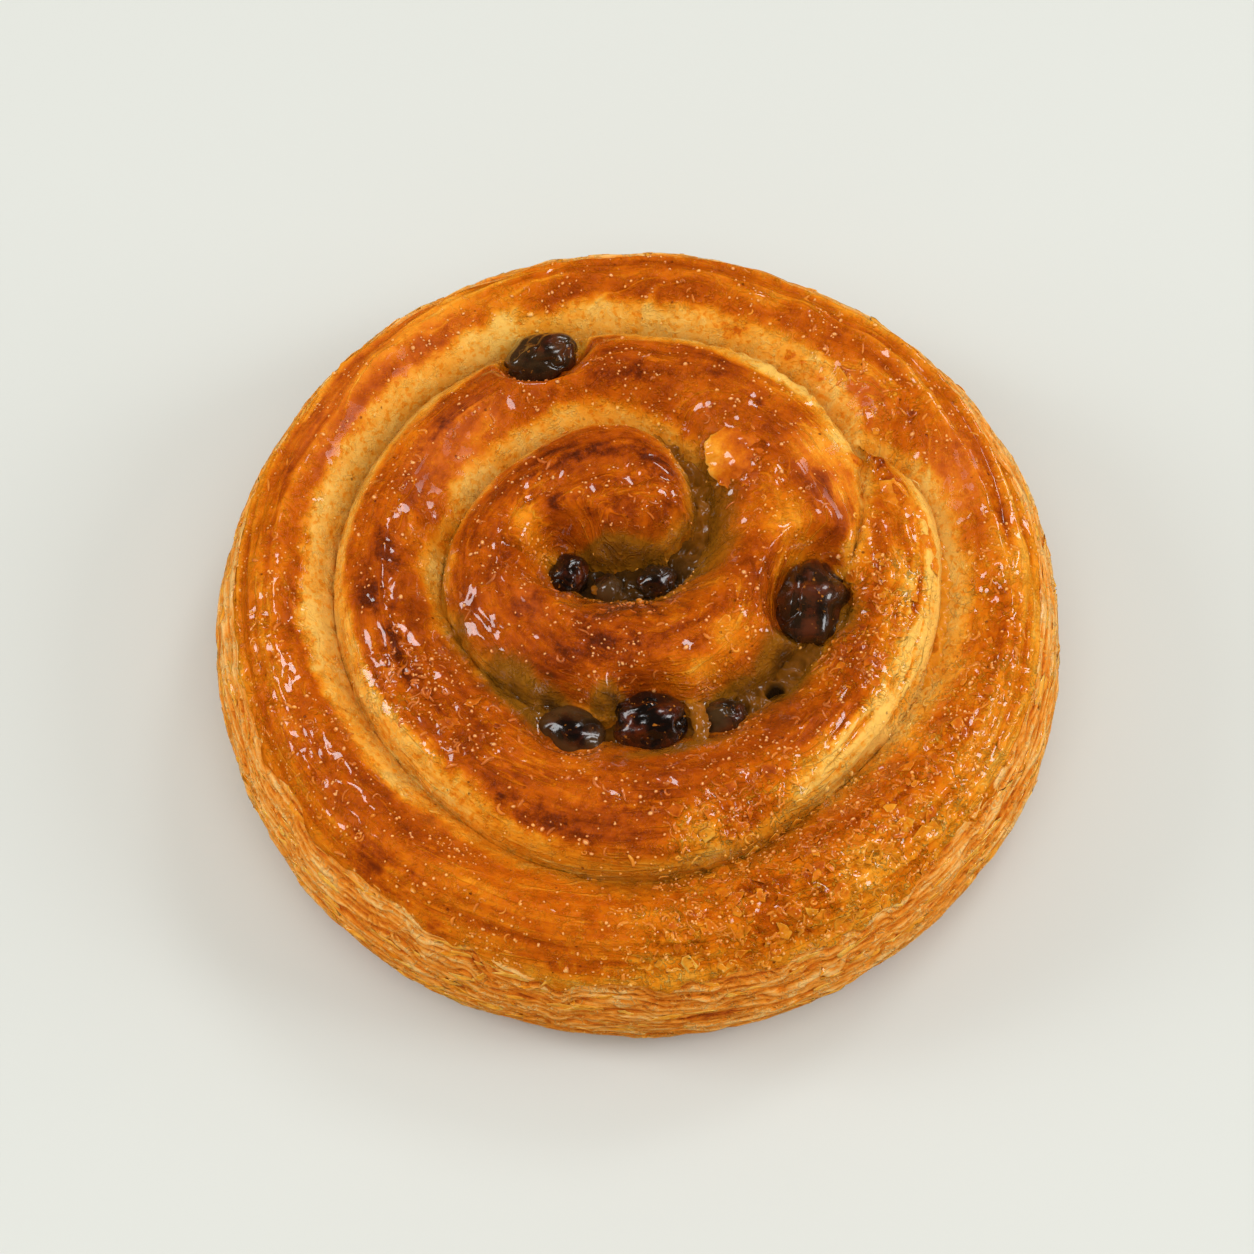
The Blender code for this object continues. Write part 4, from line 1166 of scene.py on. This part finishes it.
def makeLeaf(name, skin, material):
    # a thin torn sheet from its edge points, lying on the surface or standing off it
    edge, inner, thick, (free, joined), _ = leaves[name]

    def ground(x, y):
        under = skin.tree.ray_cast(Vector((x, y, 40)), Vector((0, 0, -1)))[0]
        return under.z if under else 20

    knots = np.array([(x, y, z if z >= 5 else ground(x, y) + z) for x, y, z in edge + inner])
    outline, step, n = [], 0.33, len(edge)
    for a, b in ((knots[k, :2], knots[(k + 1) % n, :2]) for k in range(n)):
        parts = max(2, round(np.linalg.norm(b - a) / step))
        outline += [a + (b - a) * i / parts for i in range(parts)]
    outline = np.array(outline)
    ragged = [cloud(flat(outline), 0.9, place) for place in (61.0, 62.0)]
    outline = outline + 0.6 * np.column_stack(ragged)
    low, high = outline.min(0), outline.max(0)
    even = np.array([(x, y) for x in np.arange(low[0], high[0], step)
                     for y in np.arange(low[1], high[1], step)])
    far = np.min(np.linalg.norm(even[:, None] - outline, axis=2), axis=1)
    made = filled(outline, even[far > step * 0.6])
    spots, count = np.array([v[:] for v in made[0]]), len(outline)
    first = {source: k for k, sources in enumerate(made[3]) for source in sources}
    share = 1 / (np.linalg.norm(spots[:, None] - knots[:, :2], axis=2) + 0.15) ** 3
    z = (share * knots[:, 2]).sum(1) / share.sum(1)
    z = z + clouds(flat(spots), ((0.34, 1.5, 63), (0.20, 0.7, 64)))
    rim = [first[k] for k in range(count)]
    onEdge = np.min(np.linalg.norm(spots[:, None] - spots[rim], axis=2), axis=1)
    onEdge = np.exp(-onEdge / 0.35)
    n = len(spots)
    faces = [tuple(f) for f in made[2]] + [tuple(v + n for v in f[::-1]) for f in made[2]]
    faces += [(a, b, b + n, a + n) for a, b in zip(rim, rim[1:] + rim[:1])]
    points = np.vstack([np.column_stack([spots, z - 0.5 * thick * onEdge]),
                        np.column_stack([spots, z - thick])])
    lifted = ease(z - np.array([ground(x, y) for x, y in spots]), 0.3, 1.8)
    tone = joined + (free - joined) * lifted
    makeBits(name, points, faces, material, np.tile(tone, 2), np.tile(onEdge, 2))


def makeDrops(material):
    # larger drops and blisters of set glaze
    shape, corners = ball(subdivisions=4)
    points, faces, tone = [], [], []
    for middle, reach, squat, baked in drops:
        uneven = 1 + 0.45 * cloud(shape + middle, 0.9, 65.0)
        faces += [tuple(v + len(points) for v in face) for face in corners]
        points += list(shape * uneven[:, None] * (reach, reach * 0.85, reach * squat) + middle)
        tone += [baked] * len(shape)
    made = makePiece("glazeDrops", points, faces, material, {"tone": tone})
    print("drops", len(drops))


def makeSurfaceBits(topPiece, sidePiece, cream):
    material = bitsMaterial()
    upper = Skin(topPiece, onTop)
    flaky = wrinkling(upper.middle)
    crowd = ease(cloud(upper.middle, 5.0, 51.0), 0.0, 0.35)
    glazed = ease(upper.done[upper.corners[:, 0]], 0.25, 0.5)
    clean = 1 - 0.9 * ease(lump(upper.middle, top["smears"]), 0.15, 0.6)  # off the custard
    glazed, flaky = glazed * clean, flaky * clean
    makeBeads(upper, (0.25 + 1.5 * crowd + 0.8 * flaky) * (0.10 * clean + glazed), material)
    makeCurls(upper, (0.12 + 1.0 * crowd * flaky + 1.6 * flaky) * (0.3 * clean + glazed), material)
    makeFlakes("skinFlakes", upper, np.maximum(flaky - 0.38, 0) * glazed, topFlakes, material)
    for name, leaf in leaves.items():
        makeLeaf(name, upper, cream if leaf[-1] == "custard" else material)
    makeDrops(cream)
    outer = Skin(sidePiece, onSide)
    makeFlakes("sideSheets", outer, np.ones(len(outer.area)), sideFlakes, material)


def raisinMaterial():
    net = Net("raisinSkin")
    at = net.place()
    wide, fine = net.cloud(at, 3.0, 4, 0.6), net.cloud(at, 0.7, 4, 0.6)
    colour = net.blend(net.ease(wide, 0.44, 0.68), tint(20, 13, 10), tint(84, 32, 10))
    colour = net.blend(net.ease(fine, 0.63, 0.70) * 0.8, colour, tint(186, 112, 34))
    covered = net.field("glazed") * net.ease(net.cloud(at, 4.0, 2), 0.30, 0.60)
    colour = net.blend(covered * 0.85, colour, tint(84, 58, 30))
    bump = net.bump(fine + wide * 0.6, 0.25, 0.3)
    return net.finish({"Base Color": colour, "Roughness": net.ease(wide, 0.3, 0.7, 0.12, 0.26),
                       "Normal": bump, **net.gloss(0.04, 1.0, (1.0, 0.3, 0.12), 0.3, 0.8, 0.05)})


def makeRaisins(material):
    for name, (middle, sizes, heading, _, folds, depth, uneven, glazed) in raisins.items():
        out, faces = ball(subdivisions=5)
        seed = np.array(middle)
        reach = 1 + uneven * np.array([noise.noise(Vector(o) * 1.5 + Vector(middle)) for o in out])
        bend = 0.35 * np.array([[noise.noise(Vector(o) * 1.8 + Vector(seed + k))
                                 for k in (3, 17, 29)] for o in out])
        wrinkle = np.array([1 - abs(noise.noise(Vector(o) * folds + Vector(seed * 0.7))) * 2.4
                            for o in out + bend])
        cut = depth * np.clip(wrinkle, 0, 1) ** 3
        points = out * (np.array(sizes) * reach[:, None] - cut[:, None])
        x, y = turned(points[:, :2], (0, 0), -heading)
        placed = np.column_stack([x, y, points[:, 2]]) + seed
        piece = makePiece(name.replace("_", "") + "Skin", placed, faces, material,
                          {"glazed": np.full(len(placed), glazed)})
        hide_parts(name)
    print("raisins", len(raisins))


custard = {
    # how far it lies under the banks, and how dark it is (0 dark, 1 golden), by the seam's angle;
    # the dark custard in the eye is partly its own colour, partly painted shade
    "drops": ((0, 1.9), (34, 1.7), (46, 0.7), (60, 0.2), (80, 0.4), (100, 1.4), (240, 2),
        (262, 1.2), (330, 0.9), (352, 0.8), (380, 1.6), (396, 2.4), (685, 2.4), (700, 0.7),
        (722, 0.4), (732, 0.8)),
    "tones": ((0, 0.05), (34, 0.2), (46, 0.52), (95, 0.58), (120, 0.5), (235, 0.34), (330, 0.50),
              (360, 0.5), (400, 0.6), (690, 0.8), (704, 1.0), (732, 1.0)),
    "pits": (((15.9, -13.1), 0.95, 2.2), ((-6.6, -1.0), 0.8, 1.0)),      # middle, reach, depth
    "step": 0.26, "across": 27, "bury": 0.9, "floor": 12, "lumps": 0.6, "crown": 0.35,
    "strands": 0.38,
    "colours": ((0, (40, 26, 12)), (0.35, (86, 52, 12)), (0.62, (150, 88, 16)),
                (1, (232, 146, 30))),
}


def custardMaterial():
    net = Net("custardCream")
    at = net.place()
    wide, fine = net.cloud(at, 3.0, 3), net.cloud(at, 0.9, 4)
    tone = net.field("tone") + wide.sway(0.4) + fine.sway(0.3)
    colour, bump = ramp(net, custard["colours"], tone), net.bump(fine, 0.5, 0.3)
    return net.finish({"Base Color": colour, "Roughness": net.ease(fine, 0.3, 0.7, 0.10, 0.26),
                       "Normal": bump, **net.gloss(0.2, 1.5, (1.0, 0.6, 0.2), 0.2, 0.7, 0.05)})


def pits(xy):
    # how deep the pits are at each place, and how far inside them it lies
    shares = [np.exp(-(np.linalg.norm(xy - spot, axis=1) / reach) ** 4)
              for spot, reach, _ in custard["pits"]]
    depths = [depth * share for (_, _, depth), share in zip(custard["pits"], shares)]
    return sum(depths), sum(shares)


def makeCustard(material):
    keep = seamAngles <= seamEnd
    middle, angles = evenly(seamPoints[keep], seamAngles[keep], custard["step"])
    left, half = leftOf(middle), halfWidth(angles)
    banks = [middle + k * left * half[:, None] for k in (1, -1)]
    level = np.minimum(*[topHeight(bank) for bank in banks]) - alongKnots(custard["drops"], angles)
    rows, n = [], custard["across"]
    for share in np.linspace(-1, 1, n):
        xy = middle + left * (share * (half + custard["bury"]))[:, None]
        rise = custard["crown"] * (1 - share**2)
        rise = rise + custard["lumps"] * cloud(flat(xy), 2.0, 41.0)
        rise += custard["strands"] * (1 - np.abs(cloud(flat(xy), 1.3, 42.0)) * 3)
        rows.append(np.column_stack([xy, level + rise - pits(xy)[0]]))
    for k in (1, -1):
        xy = middle + k * left * (half + custard["bury"])[:, None]
        rows.append(np.column_stack([xy, np.full(len(xy), custard["floor"])]))
    points, count = np.stack(rows, 1).reshape(-1, 3), n + 2
    faces = bands([k * count for k in range(len(middle))], count)
    faces += [tuple(range(count)), tuple(range(len(points) - count, len(points)))]
    # each pit is darkened by how far inside it a point lies: painted shade in the hole
    tone = np.repeat(alongKnots(custard["tones"], angles), count) - pits(points[:, :2])[1]
    made = makePiece("custardCream", points, faces, material, {"tone": tone})
    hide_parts("custard_filling")
    print("custard", len(made.data.polygons), "faces")


def makeFloor():
    material = Net("paleTable").finish({"Base Color": (*studio["floor"], 1),
                                        "Roughness": studio["floorRoughness"]})
    mesh = bpy.data.meshes.new("table")
    corners = [(x * studio["floorReach"] * mm, y * studio["floorReach"] * mm, 0)
               for x, y in ((-1, -1), (1, -1), (1, 1), (-1, 1))]
    mesh.from_pydata(corners, [], [(0, 1, 2, 3)])
    mesh.materials.append(material)
    table = bpy.data.objects.new("table", mesh)
    bpy.context.scene.collection.objects.link(table)
    table.visible_glossy = False


placeCamera()
placeLamps()
makeFloor()
topPiece = makeTop(crustMaterial())
sidePiece = makeSide(sideMaterial())
cream = custardMaterial()
makeSurfaceBits(topPiece, sidePiece, cream)
makeCustard(cream)
makeRaisins(raisinMaterial())
